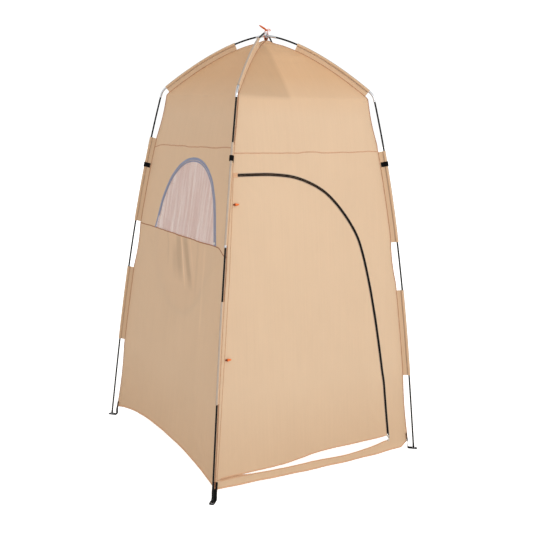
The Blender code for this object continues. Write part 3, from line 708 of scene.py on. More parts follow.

# soft streaks of painted shade on the left wall below the window, where the folds of the flap
# hanging inside darken the cloth; a negative depth paints a lighter streak:
# across and z of the top, across and z of the foot, half width, depth of tone
FLAP_SHADE_STREAKS = ((-0.012, 1.090, 0.044, 0.915, 0.036, 0.17), (-0.040, 1.030, -0.010, 0.915, 0.040, 0.09),
           (0.062, 1.090, 0.158, 0.895, 0.033, 0.20), (0.020, 1.090, 0.100, 0.890, 0.009, -0.14),
           (0.110, 1.100, 0.180, 0.960, 0.010, -0.06), (0.270, 1.080, 0.300, 0.700, 0.012, -0.05),
           (0.200, 1.090, 0.218, 0.860, 0.016, 0.05), (-0.130, 1.120, -0.105, 0.960, 0.012, 0.06))
# painted shade of the roof's far side seen through its front: (across, z) down its edge, and its
# depth of tone
ROOF_SHADE_EDGE = ((-0.050, 2.055), (-0.086, 1.785))
ROOF_SHADE_DEPTH = 0.15


def painted_shade_factor(look):
    """A factor near 1 that paints shade: the flap's streaks below the window and the roof's far
    side.
    """
    u, v = look.uv()

    def line_at(wall, across0, z0, across1, z1):
        """The u of a slanting line at each v, and the line's ends in v."""
        along0, along1 = float(along_at(z0)), float(along_at(z1))
        slope = (across1 - across0) / (along1 - along0)
        start = UV_SHIFT[wall] + across0 - slope * along0
        return look.math("MULTIPLY_ADD", v, slope, start), along0, along1

    total = None
    # painted shade of the flap's folds, one streak at a time
    for *ends, half, depth in FLAP_SHADE_STREAKS:
        line, top, foot = line_at("left", *ends)
        gap = look.absolute(look.minus(u, line))
        side = look.span(gap, of=(0.35 * half, half), to=(1.0, 0.0))
        length = look.times(look.span(v, of=(foot - 0.03, foot + 0.05)),
                            look.span(v, of=(top - 0.005, top + 0.050), to=(1, 0)))
        mark = look.times(look.times(side, length), depth)
        total = mark if total is None else look.add(total, mark)
    # painted shade of the roof's far side, on the front roof only
    line, _, foot = line_at("front", *ROOF_SHADE_EDGE[0], *ROOF_SHADE_EDGE[1])
    beyond = look.span(look.minus(line, u), of=(-0.012, 0.012))
    above = look.span(v, of=(foot - 0.012, foot + 0.012))
    front_only = look.span(look.absolute(look.minus(u, UV_SHIFT["front"])),
                           of=(0.60, 0.61), to=(1, 0))
    roof = look.times(look.times(look.times(beyond, above), front_only), ROOF_SHADE_DEPTH)
    return look.minus(1.0, look.add(total, roof))


def cloth_material(name, colour=CLOTH_COLOUR, through=0.30, airy=0.0, with_painted_shade=False):
    """Thin taffeta: fine weave, faint streaks, light coming through."""
    look = Look(name)
    warp = look.noise(scale=(900, 60, 1), detail=1)
    weft = look.noise(scale=(70, 800, 1), detail=1)
    weave = look.add(warp, weft)
    streak = look.noise(scale=(150, 2.2, 1), detail=3, rough=0.6)
    cloud = look.noise(scale=(5, 3.5, 1), detail=3, rough=0.55)
    tone = look.add(look.span(streak, of=(0.3, 0.7), to=(-0.022, 0.022)),
                    look.span(cloud, of=(0.3, 0.7), to=(-0.018, 0.018)))
    tone = look.add(tone, look.span(weave, of=(0.7, 1.3), to=(0.985, 1.015)))
    if with_painted_shade:
        # painted shade from the flap's streaks and the roof's far side
        tone = look.times(tone, painted_shade_factor(look))
        height = look.uv()[1]
        # painted shade darkens the roof; the lower edge turns to a darker tone
        for other, limits, to in ((ROOF_SHADE_COLOUR, ROOF_BLEND_Z, (0, 1)),
                                  (LOW_COLOUR, LOW_BLEND_Z, (1, 0))):
            share = look.span(height, of=[float(along_at(z)) for z in limits], to=to)
            colour = look.mix(share, colour, other)
    shade = look.shade(colour, tone)
    rough = look.span(weave, of=(0.7, 1.3), to=(0.62, 0.78))
    surface = look.base(shade, rough, specular=0.22)
    normal = look.bump(look.add(weave, look.times(streak, 0.6)), strength=0.12, distance=0.0008)
    # the light let through carries the same painted shade
    light = look.shade(THROUGH_COLOUR, painted_shade_factor(look)) if with_painted_shade else THROUGH_COLOUR
    surface = look.translucent(light, through, surface, normal)
    if airy:
        # so thin that light from behind passes with hardly a shadow
        clear = look.node("ShaderNodeBsdfTransparent")
        clear.inputs["Color"].default_value = (1.0, 0.95, 0.89, 1)
        camera_ray = look.node("ShaderNodeLightPath").outputs["Is Camera Ray"]
        surface = look.mix_shader(look.span(camera_ray, to=(airy, 0.0)), surface,
                                  clear.outputs[0])
    return look.surface(surface)


def thread_material(name, colour, stitch, rough=0.8):
    """A sewn tape or binding with a row of stitches down its middle."""
    look = Look(name)
    u, v = look.uv()
    stitches = look.span(look.from_middle(u, pitch=0.0034), of=(0.30, 0.38), to=(1.0, 0.0))
    grain = look.noise(scale=(700, 1800, 1), detail=2)
    worn = look.noise(scale=(26, 60, 1), detail=3)
    tone = look.add(look.span(grain, of=(0.3, 0.7), to=(0.92, 1.06)),
                    look.span(worn, of=(0.3, 0.7), to=(-0.06, 0.06)))
    tape = look.shade(colour, tone)
    middle = look.span(look.absolute(v), of=(0.0003, 0.0007), to=(1.0, 0.0))
    mask = look.times(stitches, middle)
    look.base(look.mix(mask, tape, stitch), rough, specular=0.25)
    look.bump(look.add(look.times(grain, 0.4), mask), strength=0.5, distance=0.0006)
    return look.material


def webbing_material(name, colour, gap=0.0016, rough=0.75, specular=0.3):
    """Woven webbing: diagonal ribs, `gap` apart, across a flat strap."""
    look = Look(name)
    u, v = look.uv()
    rib, cross_rib = (look.math("SINE", look.times(slant, math.tau / gap))
                      for slant in (look.add(u, v), look.minus(u, v)))
    ribs = look.times(rib, cross_rib)
    fuzz = look.noise(scale=(900, 900, 1), detail=2)
    tone = look.add(look.span(ribs, of=(-1, 1), to=(0.70, 1.25)),
                    look.span(fuzz, of=(0.3, 0.7), to=(-0.15, 0.15)))
    look.base(look.shade(colour, tone), rough, specular=specular)
    look.bump(look.add(ribs, fuzz), strength=0.6, distance=0.0005)
    return look.material


def rod_material(name, colour, rough, metal=0.0, streak=0.06, specular=0.5):
    """A hard, lightly streaked surface."""
    look = Look(name)
    fine = look.noise(scale=(35, 900, 1), detail=3)
    worn = look.noise(scale=(45, 45, 45), detail=4, rough=0.6, source="Object")
    tone = look.add(look.span(fine, of=(0.3, 0.7), to=(1 - streak, 1 + streak)),
                    look.span(worn, of=(0.35, 0.75), to=(-streak, streak)))
    look.base(look.shade(colour, tone),
              look.span(worn, of=(0.3, 0.7), to=(rough - 0.06, rough + 0.10)),
              metal, specular)
    look.bump(fine, strength=0.08, distance=0.0004)
    return look.material


def netting_material(name):
    """Fine white netting: a lattice of threads with open cells, with painted light and shade
    streaks for its folds.
    """
    look = Look(name)
    threads = [look.span(gap, of=(0.28, 0.34))
               for gap in [look.from_middle(value, pitch=0.0013) for value in look.uv()]]
    thread = look.math("MAXIMUM", *threads)
    # painted light and shade: streaks between a darker pinkish white and a brighter white stand in
    # for light on the folds
    cloud = look.noise(scale=(46, 3.0, 1), detail=3)
    streak = look.span(cloud, of=(0.42, 0.72))
    colour = look.mix(streak, srgb(232, 217, 220), srgb(253, 250, 254))
    surface = look.translucent(colour, 0.4, look.base(colour, 0.8))
    clear = look.node("ShaderNodeBsdfTransparent")
    share = look.span(thread, to=(0.60, 0.97))
    return look.surface(look.mix_shader(share, clear.outputs[0], surface))


CLOTH = cloth_material("tan taffeta", with_painted_shade=True)
CLOTH_DOUBLE = cloth_material("tan taffeta, doubled", srgb(214, 182, 149), through=0.14)
FLAP_CLOTH = cloth_material("tan taffeta flap", srgb(226, 202, 176), through=0.50, airy=0.90)
SEAM_BROWN = thread_material("brown felled seam", srgb(172, 122, 92), stitch=srgb(120, 76, 52))
BAND_SEAM = thread_material("pale felled seam", srgb(200, 158, 128), stitch=srgb(150, 108, 82))
HEM_TAN = thread_material("tan hem", srgb(206, 164, 130), stitch=srgb(140, 96, 68))
PIPING = thread_material("grey piping", srgb(176, 160, 146), stitch=srgb(150, 132, 118))
WINDOW_TAPE = thread_material("grey zip tape", srgb(142, 148, 170), stitch=srgb(104, 110, 134))
ZIP_TAPE = thread_material("black zip tape", srgb(9, 8, 9), stitch=srgb(18, 17, 18), rough=0.95)
ZIP_COIL = rod_material("black nylon coil", srgb(8, 8, 9), rough=0.62, specular=0.12)
WINDOW_COIL = rod_material("grey nylon coil", srgb(112, 118, 134), rough=0.4)
ROD = rod_material("black fibreglass", srgb(9, 10, 13), rough=0.50, streak=0.10, specular=0.16)
STEEL = rod_material("zinc-plated steel", srgb(205, 208, 214), rough=0.24, metal=1.0)
WEBBING = webbing_material("black webbing", srgb(11, 11, 12), specular=0.15)
HOOK_LOOP = webbing_material("black hook and loop", srgb(14, 14, 16), gap=0.0011, rough=0.95,
                             specular=0.1)
LOOP_BROWN = webbing_material("brown loop tape", srgb(120, 66, 44), gap=0.0014)
ORANGE = webbing_material("orange braided cord", srgb(216, 98, 26), gap=0.0013, rough=0.6)
TOGGLE = rod_material("orange moulded toggle", srgb(228, 108, 24), rough=0.40, streak=0.04)
TOGGLE_RED = rod_material("red moulded toggle", srgb(214, 38, 36), rough=0.36, streak=0.04)
# the toggles' knots, darker than the orange cord they are tied in: painted shade
KNOT_IN_SHADE = webbing_material("dark red knot", srgb(126, 44, 22), gap=0.0011, rough=0.7)
RED_TAPE = webbing_material("red tape tab", srgb(188, 84, 66), gap=0.0011, rough=0.7)
ELASTIC = webbing_material("white elastic cord", srgb(214, 212, 204), gap=0.0012, rough=0.8)
NETTING = netting_material("white netting")
SLIDER_METAL = rod_material("cast zip slider", srgb(226, 222, 214), rough=0.30, metal=1.0)

# --------------------------------------------------------------- shared outlines
# measured (across, z) points
DOOR_ZIP_FROM, DOOR_ZIP_TO = (-0.402, 1.440), (0.4454, 0.077)
DOOR_ZIP_BEND = ((-0.203, 1.438), (-0.053, 1.412), (0.097, 1.335), (0.229, 1.186),
                 (0.297, 1.035), (0.363, 0.729), (0.4165, 0.375))
DOOR_HEM = ((-0.430, 0.0868), (-0.225, 0.0830), (-0.110, 0.0895), (-0.006, 0.0975),
            (0.110, 0.0975), (0.2265, 0.0945))
SILL_LOW = ((-0.525, 0.0430), (-0.360, 0.0360), (-0.100, 0.0220), (0.0, 0.0175),
            (0.226, 0.0105), (0.525, 0.0115))
SILL_TOP = ((-0.552, 0.0834), (-0.430, 0.0820), (-0.295, 0.0726), (-0.154, 0.0652),
            (0.0, 0.0598), (0.147, 0.0500), (0.291, 0.0540), (0.420, 0.0695))
SILL_CORNERS = (0.046, 0.036)       # heights at the sill's left and right ends
WINDOW_BASE = (-0.283, 0.360)       # across of the window's lower corners
WINDOW_BEND = ((-0.242, 1.258), (-0.226, 1.293), (-0.203, 1.332), (-0.158, 1.390),
               (-0.095, 1.441), (-0.020, 1.472), (0.060, 1.483), (0.130, 1.474),
               (0.184, 1.450), (0.2255, 1.418), (0.2625, 1.377), (0.298, 1.316),
               (0.3225, 1.2526))
DOOR_LOW_Z, DOOR_TOP_Z = 0.0880, 1.4335
HINGE_INSET = (0.0110, 0.0085)      # of the door's sewn edge from the corner seam, low and top
FINE_STEP, TAPE_STEP = 0.0008, 0.006

ZIP_LINE = resample(np.concatenate([through((DOOR_ZIP_FROM, *DOOR_ZIP_BEND)), [DOOR_ZIP_TO]]),
                    TAPE_STEP)
ARCH = resample(np.concatenate([[(WINDOW_BASE[0], MID_Z)], through(WINDOW_BEND),
                                [(WINDOW_BASE[1], MID_Z)]]), TAPE_STEP)
LOW_EDGE, TOP_EDGE = through(SILL_LOW, 8), through(SILL_TOP, 8)
EDGE_ALONG = np.concatenate([
    [along_at(HEM_CORNER_Z)],
    np.arange(along_at(HEM_CORNER_Z) + 0.008, TOP_ALONG - 0.012, 0.008),
    [TOP_ALONG - 0.008]])


def hinge_at(z):
    """Across of the door's sewn edge."""
    low, top = wall_half(DOOR_LOW_Z) - HINGE_INSET[0], wall_half(DOOR_TOP_Z) - HINGE_INSET[1]
    return -(low + (top - low) * (z - DOOR_LOW_Z) / (DOOR_TOP_Z - DOOR_LOW_Z))


def hem_line():
    ratio = np.linspace(-1, 1, 150)
    rise = (HEM_MID_Z - HEM_CORNER_Z) * np.abs(ratio)**2.4
    return np.stack([ratio * wall_half(HEM_CORNER_Z), HEM_MID_Z - rise], 1)


def sill_low(across):
    """Height of the front wall's lower edge."""
    half = wall_half(0.040)
    low = np.interp(across, LOW_EDGE[:, 0], LOW_EDGE[:, 1])
    corner = np.where(across < 0, *SILL_CORNERS)
    near = ease(np.abs(across), half - 0.050, half - 0.002)
    return low * (1 - near) + corner * near + 0.0008 * np.sin(across * 31) * (1 - near)


def wall_outline(bottom):
    """The given lower edge, then up one corner seam to the peak and down the other."""
    right = np.stack([half_at(EDGE_ALONG), EDGE_ALONG], 1)
    right = right[right[:, 1] > bottom[-1, 1] + 0.003]
    return np.concatenate([bottom, right, (right * (-1, 1))[::-1]])


def arch_loop(distance, base_z, base_out):
    """The window's arch moved outward, closed along its base."""
    edge = beside(ARCH, distance)
    edge[0] = (WINDOW_BASE[0] - distance, base_z)
    edge[-1] = (WINDOW_BASE[1] + distance, base_z)
    base = np.linspace(WINDOW_BASE[1] + base_out, WINDOW_BASE[0] - base_out, 80)[1:-1]
    return cloth(np.concatenate([edge, np.stack([base, np.full(78, base_z)], 1)]))


hinge_line = np.array([(hinge_at(z), z) for z in np.linspace(DOOR_LOW_Z, DOOR_ZIP_FROM[1], 170)])
# the short sewn run between the door's hinge line and the end of its zip
door_top = np.stack([np.linspace(hinge_at(DOOR_ZIP_FROM[1]), DOOR_ZIP_FROM[0], 12),
                     np.full(12, DOOR_ZIP_FROM[1])], 1)[1:-1]
zip_outer, zip_inner = beside(ZIP_LINE, 0.0035), beside(ZIP_LINE, -0.0035)
zip_outer[0, 0] = zip_inner[0, 0] = DOOR_ZIP_FROM[0]
sill_across = np.linspace(zip_outer[-1, 0], hinge_at(0.0825), 120)
near_zip = ease(sill_across, zip_outer[-1, 0] - 0.035, zip_outer[-1, 0])
sill_z = np.interp(sill_across, TOP_EDGE[:, 0], TOP_EDGE[:, 1])
sill_run = np.stack([sill_across, sill_z * (1 - near_zip) + 0.0700 * near_zip], 1)
DOOR_HOLE = cloth(np.concatenate([hinge_line, door_top, zip_outer, sill_run]))

DOOR_CORNER_Z = 0.0925              # where the door's hem meets its zip
door_side = zip_inner[zip_inner[:, 1] > 0.0965]
door_corner = (np.interp(-DOOR_CORNER_Z, -zip_inner[:, 1], zip_inner[:, 0]), DOOR_CORNER_Z)
door_bottom = resample(through([door_corner, *DOOR_HEM[::-1], (hinge_line[0, 0], DOOR_LOW_Z)]),
                       TAPE_STEP)
DOOR_OUTLINE = cloth(np.concatenate([hinge_line, door_top, door_side, door_bottom[:-1]]))
WINDOW_HOLE = arch_loop(0.0112, MID_Z + 0.0008, base_out=0.011)


# ------------------------------------------------------------------- the canopy
def canopy():
    """All four walls and the roof, with holes for the door and the window."""
    half = wall_half(HEM_CORNER_Z)
    across = np.linspace(-half, half, 150)
    low = np.where(np.abs(across) > half - 1e-6, HEM_CORNER_Z, sill_low(across))
    sill, hem = np.stack([across, along_at(low)], 1), cloth(hem_line())
    parts = []
    for wall, bottom, holes, step in (("front", sill, [DOOR_HOLE], 0.008),
                                      ("left", hem, [WINDOW_HOLE], 0.008),
                                      ("right", hem, [], 0.013), ("back", hem, [], 0.013)):
        flat, faces = region(wall_outline(bottom), holes, step)
        parts.append((cloth_points(wall, flat), faces, flat + (UV_SHIFT[wall], 0)))
    obj = piece("canopy", "canopy", CLOTH, parts,
                "roof_panel_front", "roof_panel_right", "roof_panel_back", "roof_panel_left",
                "back_wall", "right_wall", "left_lower_panel", "left_window_panel",
                "front_wall_frame", angle=None, weld=2e-5)
    obj.data.shade_smooth()


def level_seam(wall, z, wave, rise=None):
    """A seam's (across, z) line: level, a little wavy, with an optional rise."""
    half = wall_half(z)
    across = np.linspace(-half + 0.001, half - 0.001, 260)
    line_z = (z + wave * wave_noise(across * 9, SEED[wall], 5)
              + 0.3 * wave * wave_noise(across * 31, SEED[wall], 6))
    if rise:
        line_z += rise(across, half)
    return np.stack([across, line_z], 1)


def corner_dip(across, half):
    return -0.030 * ease(across, half - 0.085, half - 0.01)


def left_band_rise(across, half):
    return 0.009 + 0.030 * across - 0.010 * ease(-across, half - 0.10, half)


def seams_and_hems():
    """Level seams, and bindings folded over the cloth's edges."""
    band = [wall_tape(wall, level_seam(wall, BAND_Z, 0.0035,
                                       left_band_rise if wall == "left" else None),
                      width=0.0052, thick=0.0014, lift=0.0004) for wall in WALLS]
    piece("band_seam", "canopy", BAND_SEAM, band)
    piece("window_wall_seam", "canopy", SEAM_BROWN,
          [wall_tape("left", level_seam("left", MID_Z, 0.0020, corner_dip),
                     width=0.0050, thick=0.0014, lift=0.0004)])
    piece("wall_hems", "canopy", HEM_TAN,
          [hem_tape(wall, hem_line()) for wall in ("left", "right", "back")])

    half = wall_half(0.036) - 0.002
    across = np.linspace(-half, half, 200)
    # the sill's spare cloth, tucked up behind the door's lower corner
    tuck = np.linspace(-0.566, -0.385, 50)
    tuck = np.stack([tuck, 0.0853 - 0.0125 * ease(tuck, -0.480, -0.385)], 1)
    piece("sill_hems", "canopy", HEM_TAN,
          [wall_tape("front", tuck, width=0.0120, thick=0.0008, lift=-0.0036),
           hem_tape("front", np.stack([across, sill_low(across)], 1), width=0.008),
           wall_tape("front", sill_run[2:-2][::-1] - (0, 0.003), width=0.006, thick=0.0022)])


canopy()
seams_and_hems()

# ------------------------------------------------------------------ corners
# heights of the lower sleeve, the upper sleeve, and the middle of the strap
SLEEVES = {
    "fl": ((0.443, 0.896), (1.140, 1.583), 1.515),
    "fr": ((0.399, 0.846), (1.092, 1.543), 1.480),
    "br": ((0.430, 0.872), (1.118, 1.570), 1.470),
    "bl": ((0.455, 0.870), (1.127, 1.573), 1.429),
}
ROOF_SLEEVE_R = (0.525, 0.160)      # radii of the roof sleeve's ends


class Corner:
    """The pole and the canopy's seam at one corner, from the floor to the peak."""

    def __init__(self, name):
        x, y = CORNERS[name]
        self.name, self.x, self.y = name, x, y
        self.out = np.array((x, y, 0)) / ROOT2
        self.side = np.array((-y, x, 0)) / ROOT2
        self.flat = resample(profile(PEAK_Z + (CROSS_RISE if x == y else 0.0)), POLE_STEP)
        self.pole = self.stand(self.flat)
        run = distances(profile(PEAK_Z))
        at = np.linspace(0, run[-1], len(self.flat))
        self.seam = self.stand(np.stack([np.interp(at, run, CORNER_SEAM[:, k])
                                         for k in range(2)], 1))
        self.run = distances(self.pole)

    def stand(self, line):
        """(radius, z) points stood up in the corner's plane."""
        return line[:, :1] * self.out + line[:, 1:] * UP

    def at_z(self, z):
        """Distance along the pole at a height."""
        return np.interp(z, self.flat[:-1, 1], self.run[:-1])

    def at_r(self, radius):
        """Distance along the pole at a radius."""
        return np.interp(-radius, -self.flat[:, 0], self.run)

    def at(self, where):
        """The pole's centre, the direction to it from the seam, and how far it is."""
        centre, seam = (np.stack([np.interp(where, self.run, line[:, k]) for k in range(3)], 1)
                        for line in (self.pole, self.seam))
        reach = np.linalg.norm(centre - seam, axis=1)
        return centre, (centre - seam) / reach[:, None], reach


def stations_between(start, end, step=0.006):
    return np.linspace(start, end, max(3, int(abs(end - start) / step) + 1))


def flap(corner, start, end, radius, wall, gap, stop, step=0.005, ripple=1.0, seed=0):
    """Cloth of thickness `wall` folded round a pole from `stop` off the seam, in two layers."""
    where = stations_between(start, end, step)
    centre, out, reach = corner.at(where)
    reach = reach - stop
    wave = ripple * (0.0012 * wave_noise(where * 11, seed, 81)
                     + 0.0005 * wave_noise(where * 37, seed, 82))
    puff = 1 + ripple * 0.045 * wave_noise(where * 23, seed + 3, 83)
    arc_steps, run_steps = 14, 5
    verts = []
    for i in range(len(where)):
        layers = []
        for r, half_gap in (((radius + wall) * puff[i], gap + wall), (radius * puff[i], gap)):
            root = math.pi - math.asin(min(0.95, half_gap / r))
            run = np.linspace(-reach[i], r * math.cos(root), run_steps + 1)[:-1]
            bulge = wave[i] * np.sin(np.clip((run + reach[i]) / reach[i], 0, 1) * math.pi)
            top = np.stack([run, half_gap + bulge], 1)
            low = np.stack([run, -half_gap + bulge], 1)[::-1]
            turn = root - 2 * root * np.arange(arc_steps + 1) / arc_steps
            arc = np.stack([r * np.cos(turn), r * np.sin(turn)], 1)
            layers.append(np.concatenate([top, arc, low]))
        section = np.concatenate([layers[0], layers[1][::-1]])
        verts.append(centre[i] + out[i] * section[:, :1] + corner.side * section[:, 1:])
    count, sides = len(where), len(section)
    faces = []
    for i in range(count - 1):
        for k in range(sides):
            after = (k + 1) % sides
            faces.append((i * sides + k, i * sides + after,
                          (i + 1) * sides + after, (i + 1) * sides + k))
    # the ends, between the outer and the inner layer
    for base in (0, (count - 1) * sides):
        for k in range(sides // 2 - 1):
            faces.append((base + k, base + k + 1,
                          base + sides - 2 - k, base + sides - 1 - k))
    uv = np.stack([np.tile(distances(section), count), np.repeat(where, sides)], 1)
    return np.concatenate(verts), faces, uv


def sleeves(corner, order):
    """Three cloth sleeves round the pole, the seam's binding, and the sleeves' stitching with a
    strip of painted shade over the pole.
    """
    name = corner.name
    lower, upper, _ = SLEEVES[name]
    spans = [tuple(corner.at_z(z) for z in lower), tuple(corner.at_z(z) for z in upper),
             tuple(corner.at_r(r) for r in ROOF_SLEEVE_R)]
    parts = [flap(corner, start, end, radius=0.0062, wall=0.0006, gap=0.0004, stop=0.0005,
                  seed=7 * i + 2 + 3 * corner.x + corner.y)
             for i, (start, end) in enumerate(spans)]
    piece(f"corner_sleeve_{name}", "canopy", CLOTH_DOUBLE, parts, f"corner_sleeve_{name}",
          angle=70)

    # binding on the corner seam, drawn in between the sleeves with the cloth
    along = np.arange(along_at(HEM_CORNER_Z), TOP_ALONG - 0.006, 0.005)
    line = ((half_at(along) - scallop(along))[:, None] * np.array((corner.x, corner.y, 0))
            + z_at(along)[:, None] * UP)
    piece(f"corner_binding_{name}", "canopy", SEAM_BROWN,
          [sweep(line, *cross_axes(line), ring(1, 10) * (0.0021, 0.0018))])

    # a stitched line on each side of the sleeve, and a grey strip over the pole: painted shade
    # where the pole shows dark through the sleeve's cloth
    parts = []
    for start, end in spans:
        centre, out, _ = corner.at(stations_between(start + 0.001, end - 0.001))
        parts += [sweep(centre - out * 0.0085 + corner.side * sign * 0.0013, out, corner.side,
                        flat_section(0.0016, 0.0008)) for sign in (1, -1)]
        centre, out, _ = corner.at(stations_between(start + 0.0005, end - 0.0005))
        parts.append(sweep(centre, out, corner.side,
                           arc_band(0.0073, 0.0066, np.linspace(-38, 38, 7))))
    piece(f"sleeve_edging_{name}", "canopy", PIPING, parts)


def lathe(corner, stations):
    """A round body along the pole through (distance, radius) stations, its ends closed."""
    rows = []
    for (run0, r0), (run1, r1) in zip(stations, stations[1:]):
        count = max(1, int(abs(run1 - run0) / 0.008))
        rows += [(run0 + (run1 - run0) * k / count, r0 + (r1 - r0) * k / count)
                 for k in range(count)]
    rows.append(stations[-1])
    where, radius = np.array(rows).T
    run = unit(corner.at(np.minimum(where + 0.002, corner.run[-1]))[0]
               - corner.at(np.maximum(where - 0.002, 0))[0])
    return sweep(corner.at(where)[0], corner.side, np.cross(run, corner.side),
                 rings(np.maximum(radius, 1e-5), 20))


def steel_sleeve(start, end, groove=()):
    """Stations of a steel tube over the rod, its rims chamfered."""
    rim = TUBE_R - 0.0004
    return [(start, ROD_R), (start, rim), (start + 0.0006, TUBE_R), *groove,
            (end - 0.0006, TUBE_R), (end, rim), (end, ROD_R)]


# distance from the floor, radius: the tip pin and the cap of the pole's foot
POLE_TIP = [(0.0008, 0.0), (0.0008, 0.0018), (0.0022, 0.0024), (0.0035, 0.0024),
            (0.0036, 0.0046), (0.0045, 0.0050), (0.021, 0.0050), (0.0222, ROD_R)]


def pole(corner):
    """Rods, two ferrules and the shoulder elbow."""
    name = corner.name
    low, high = corner.at_z(LOWER_JOINT_Z), corner.at_z(UPPER_JOINT_Z)
    bend_in, bend_out = corner.at_z(ELBOW_FROM_Z) - 0.016, corner.at_r(ELBOW_TO_R) + 0.030
    apex_end = corner.run[-1] - 0.055
    groove = [(bend_in + 0.007, TUBE_R), (bend_in + 0.0085, TUBE_R - 0.0006),
              (bend_in + 0.010, TUBE_R)]

    def rod(part, stations, *replaced, angle=60):
        piece(f"pole_{part}_{name}", "fibreglass", ROD, [lathe(corner, stations)], *replaced,
              angle=angle)

    def steel(part, stations, *replaced):
        piece(f"{part}_{name}", "steel_tube", STEEL, [lathe(corner, stations)], *replaced,
              angle=40)

    rod("lower", [*POLE_TIP, (low, ROD_R)], f"leg_{name}_lower", angle=40)
    steel("ferrule_lower", steel_sleeve(low - FERRULE_HALF, low + FERRULE_HALF))
    rod("middle", [(low, ROD_R), (high, ROD_R)], f"leg_{name}_middle")
    steel("ferrule_upper", steel_sleeve(high - FERRULE_HALF, high + FERRULE_HALF))
    rod("upper", [(high, ROD_R), (bend_in + 0.014, ROD_R)], f"leg_{name}_upper")
    steel("shoulder_elbow", steel_sleeve(bend_in, bend_out, groove), f"shoulder_elbow_{name}")
    rod("roof", [(bend_out - 0.02, ROD_R), (apex_end + 0.02, ROD_R)], f"roof_rod_{name}")


def pole_strap(corner):
    """A strap round the pole, with its lap."""
    middle = corner.at_z(SLEEVES[corner.name][2])
    strap = flap(corner, middle - 0.012, middle + 0.012, radius=0.0082, wall=0.0010, gap=0.0019,
                 stop=0.004, step=0.002, ripple=0.4, seed=9)
    centre, out, _ = corner.at(stations_between(middle - 0.0118, middle + 0.0118, 0.002))
    lap = sweep(centre, out, corner.side, arc_band(0.0093, 0.0103, np.linspace(140, -60, 16)))
    name = f"pole_strap_{corner.name}"
    piece(name, "webbing", HOOK_LOOP, [strap, lap], name, angle=45)


def foot_webbing(corner):
    """Webbing from the canopy's corner down to the floor, with an eyelet for the pole's tip."""
    hem_r = wall_half(HEM_CORNER_Z) * ROOT2
    # radius, z
    run = through([(hem_r - 0.005, 0.082), (hem_r - 0.0010, 0.056), (hem_r + 0.004, 0.036),
                   (FOOT_R - 0.031, 0.0062), (FOOT_R - 0.0262, 0.0009),
                   (FOOT_R - 0.012, 0.0009), (FOOT_R + 0.010, 0.0009),
                   (FOOT_R + 0.0185, 0.0009)], 8)
    line = corner.stand(run)
    width = np.interp(run[:, 0], [FOOT_R + 0.008, FOOT_R + 0.0145, FOOT_R + 0.0185],
                      [0.0256, 0.0220, 0.0120])
    sections = (np.array(flat_section(1.0, 0.0014))[None]
                * np.stack([width, np.ones_like(width)], 1)[:, None, :])
    piece(f"corner_webbing_{corner.name}", "webbing", WEBBING,
          [sweep(line, corner.side, np.cross(tangents(line), corner.side), sections)],
          f"corner_strap_{corner.name}", angle=45)
    radial = np.column_stack([ring(1, 32), np.zeros(32)])
    centre = corner.out * FOOT_R + UP * 0.0019
    piece(f"eyelet_{corner.name}", "steel_tube", STEEL,
          [sweep(centre + radial * 0.0055, radial, UP, ring(1, 10) * (0.0020, 0.0009),
                 closed=True)])


corners = {name: Corner(name) for name in CORNERS}
for order, corner in enumerate(corners.values()):
    sleeves(corner, order)
    pole(corner)
    pole_strap(corner)
    foot_webbing(corner)

# steel tubes over the crossing at the peak, and the frame's own shock cords
for which, name in (("over", "fl"), ("under", "fr")):
    end = corners[name].pole[-15:]
    line = resample(np.concatenate([end, end[:-1][::-1] * (-1, -1, 1)]), POLE_STEP)
    line = line[np.linalg.norm(line[:, :2], axis=1) < 0.0545]
    radius = np.full(len(line), TUBE_R)
    radius[[0, -1]] = TUBE_R - 0.0004
    piece(f"apex_tube_{which}", "steel_tube", STEEL, [tube(line, radius, 20)],
          f"apex_tube_{which}", angle=40)
    cord_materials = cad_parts[f"shock_cord_{which}"].data.materials
    cord_materials.clear()
    cord_materials.append(ELASTIC)

# ------------------------------------------------------------------ door and zip
hinge_low = taut("front", hinge_at(DOOR_LOW_Z), DOOR_LOW_Z)
hinge_top = taut("front", hinge_at(DOOR_TOP_Z), DOOR_TOP_Z)
hinge_up = (hinge_top - hinge_low) / np.linalg.norm(hinge_top - hinge_low)
hinge_across = np.array(X_AXIS) - hinge_up * hinge_up[0]
hinge_across /= np.linalg.norm(hinge_across)


def door_piece(name, slot, material, parts, *replaced, angle=60):
    """A piece for the door's side, its transform baked into its mesh; it is not attached to a body.
    """
    obj = build(name, material, parts, replaced, angle)
    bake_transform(obj)


def door_cloth():
    """The door's sheet, with close rows of points where it bends."""
    rows = np.array([(hinge_at(z) + gap, along_at(z))
                     for gap in (0.0022, 0.0046, 0.007, 0.0095, 0.012, 0.015, 0.019)
                     for z in np.arange(DOOR_LOW_Z + 0.006, DOOR_ZIP_FROM[1] - 0.004, 0.006)])
    flat, faces = region(DOOR_OUTLINE, [], 0.008, rows[inside(rows, DOOR_OUTLINE)])
    door_piece("door_cloth", "canopy", CLOTH,
               [(cloth_points("front", flat), faces, flat + (UV_SHIFT["front"], 0))],
               "door_panel", angle=None)


def door_zip():
    """Tape, coil and piping on the frame's side and the door's, which stops short at its foot."""
    fine = resample(ZIP_LINE, FINE_STEP)
    short = fine[:-int(0.027 / FINE_STEP)]
    # side of the zip's line, name, maker, fine line, line
    halves = ((1, "frame", piece, fine, ZIP_LINE),
              (-1, "door", door_piece, short, resample(short, TAPE_STEP)))
    for side, name, make, fine_line, line in halves:
        make(f"door_zip_tape_{name}", "zip_chain", ZIP_TAPE,
             [wall_tape("front", beside(line, side * 0.0035), width=0.0050, thick=0.0010,
                        lift=0.0012)], f"door_zip_{name}_side")
        make(f"door_zip_teeth_{name}", "zip_chain", ZIP_COIL,
             [coil("front", fine_line, side * 0.00125, radius=0.00105, lift=0.0010)])
    for side, name, make, _, line in halves:
        make(f"door_zip_piping_{name}", "zip_tape", PIPING,
             [wall_tape("front", beside(line, side * 0.0078), width=0.0020, thick=0.0013,
                        lift=0.0004)])


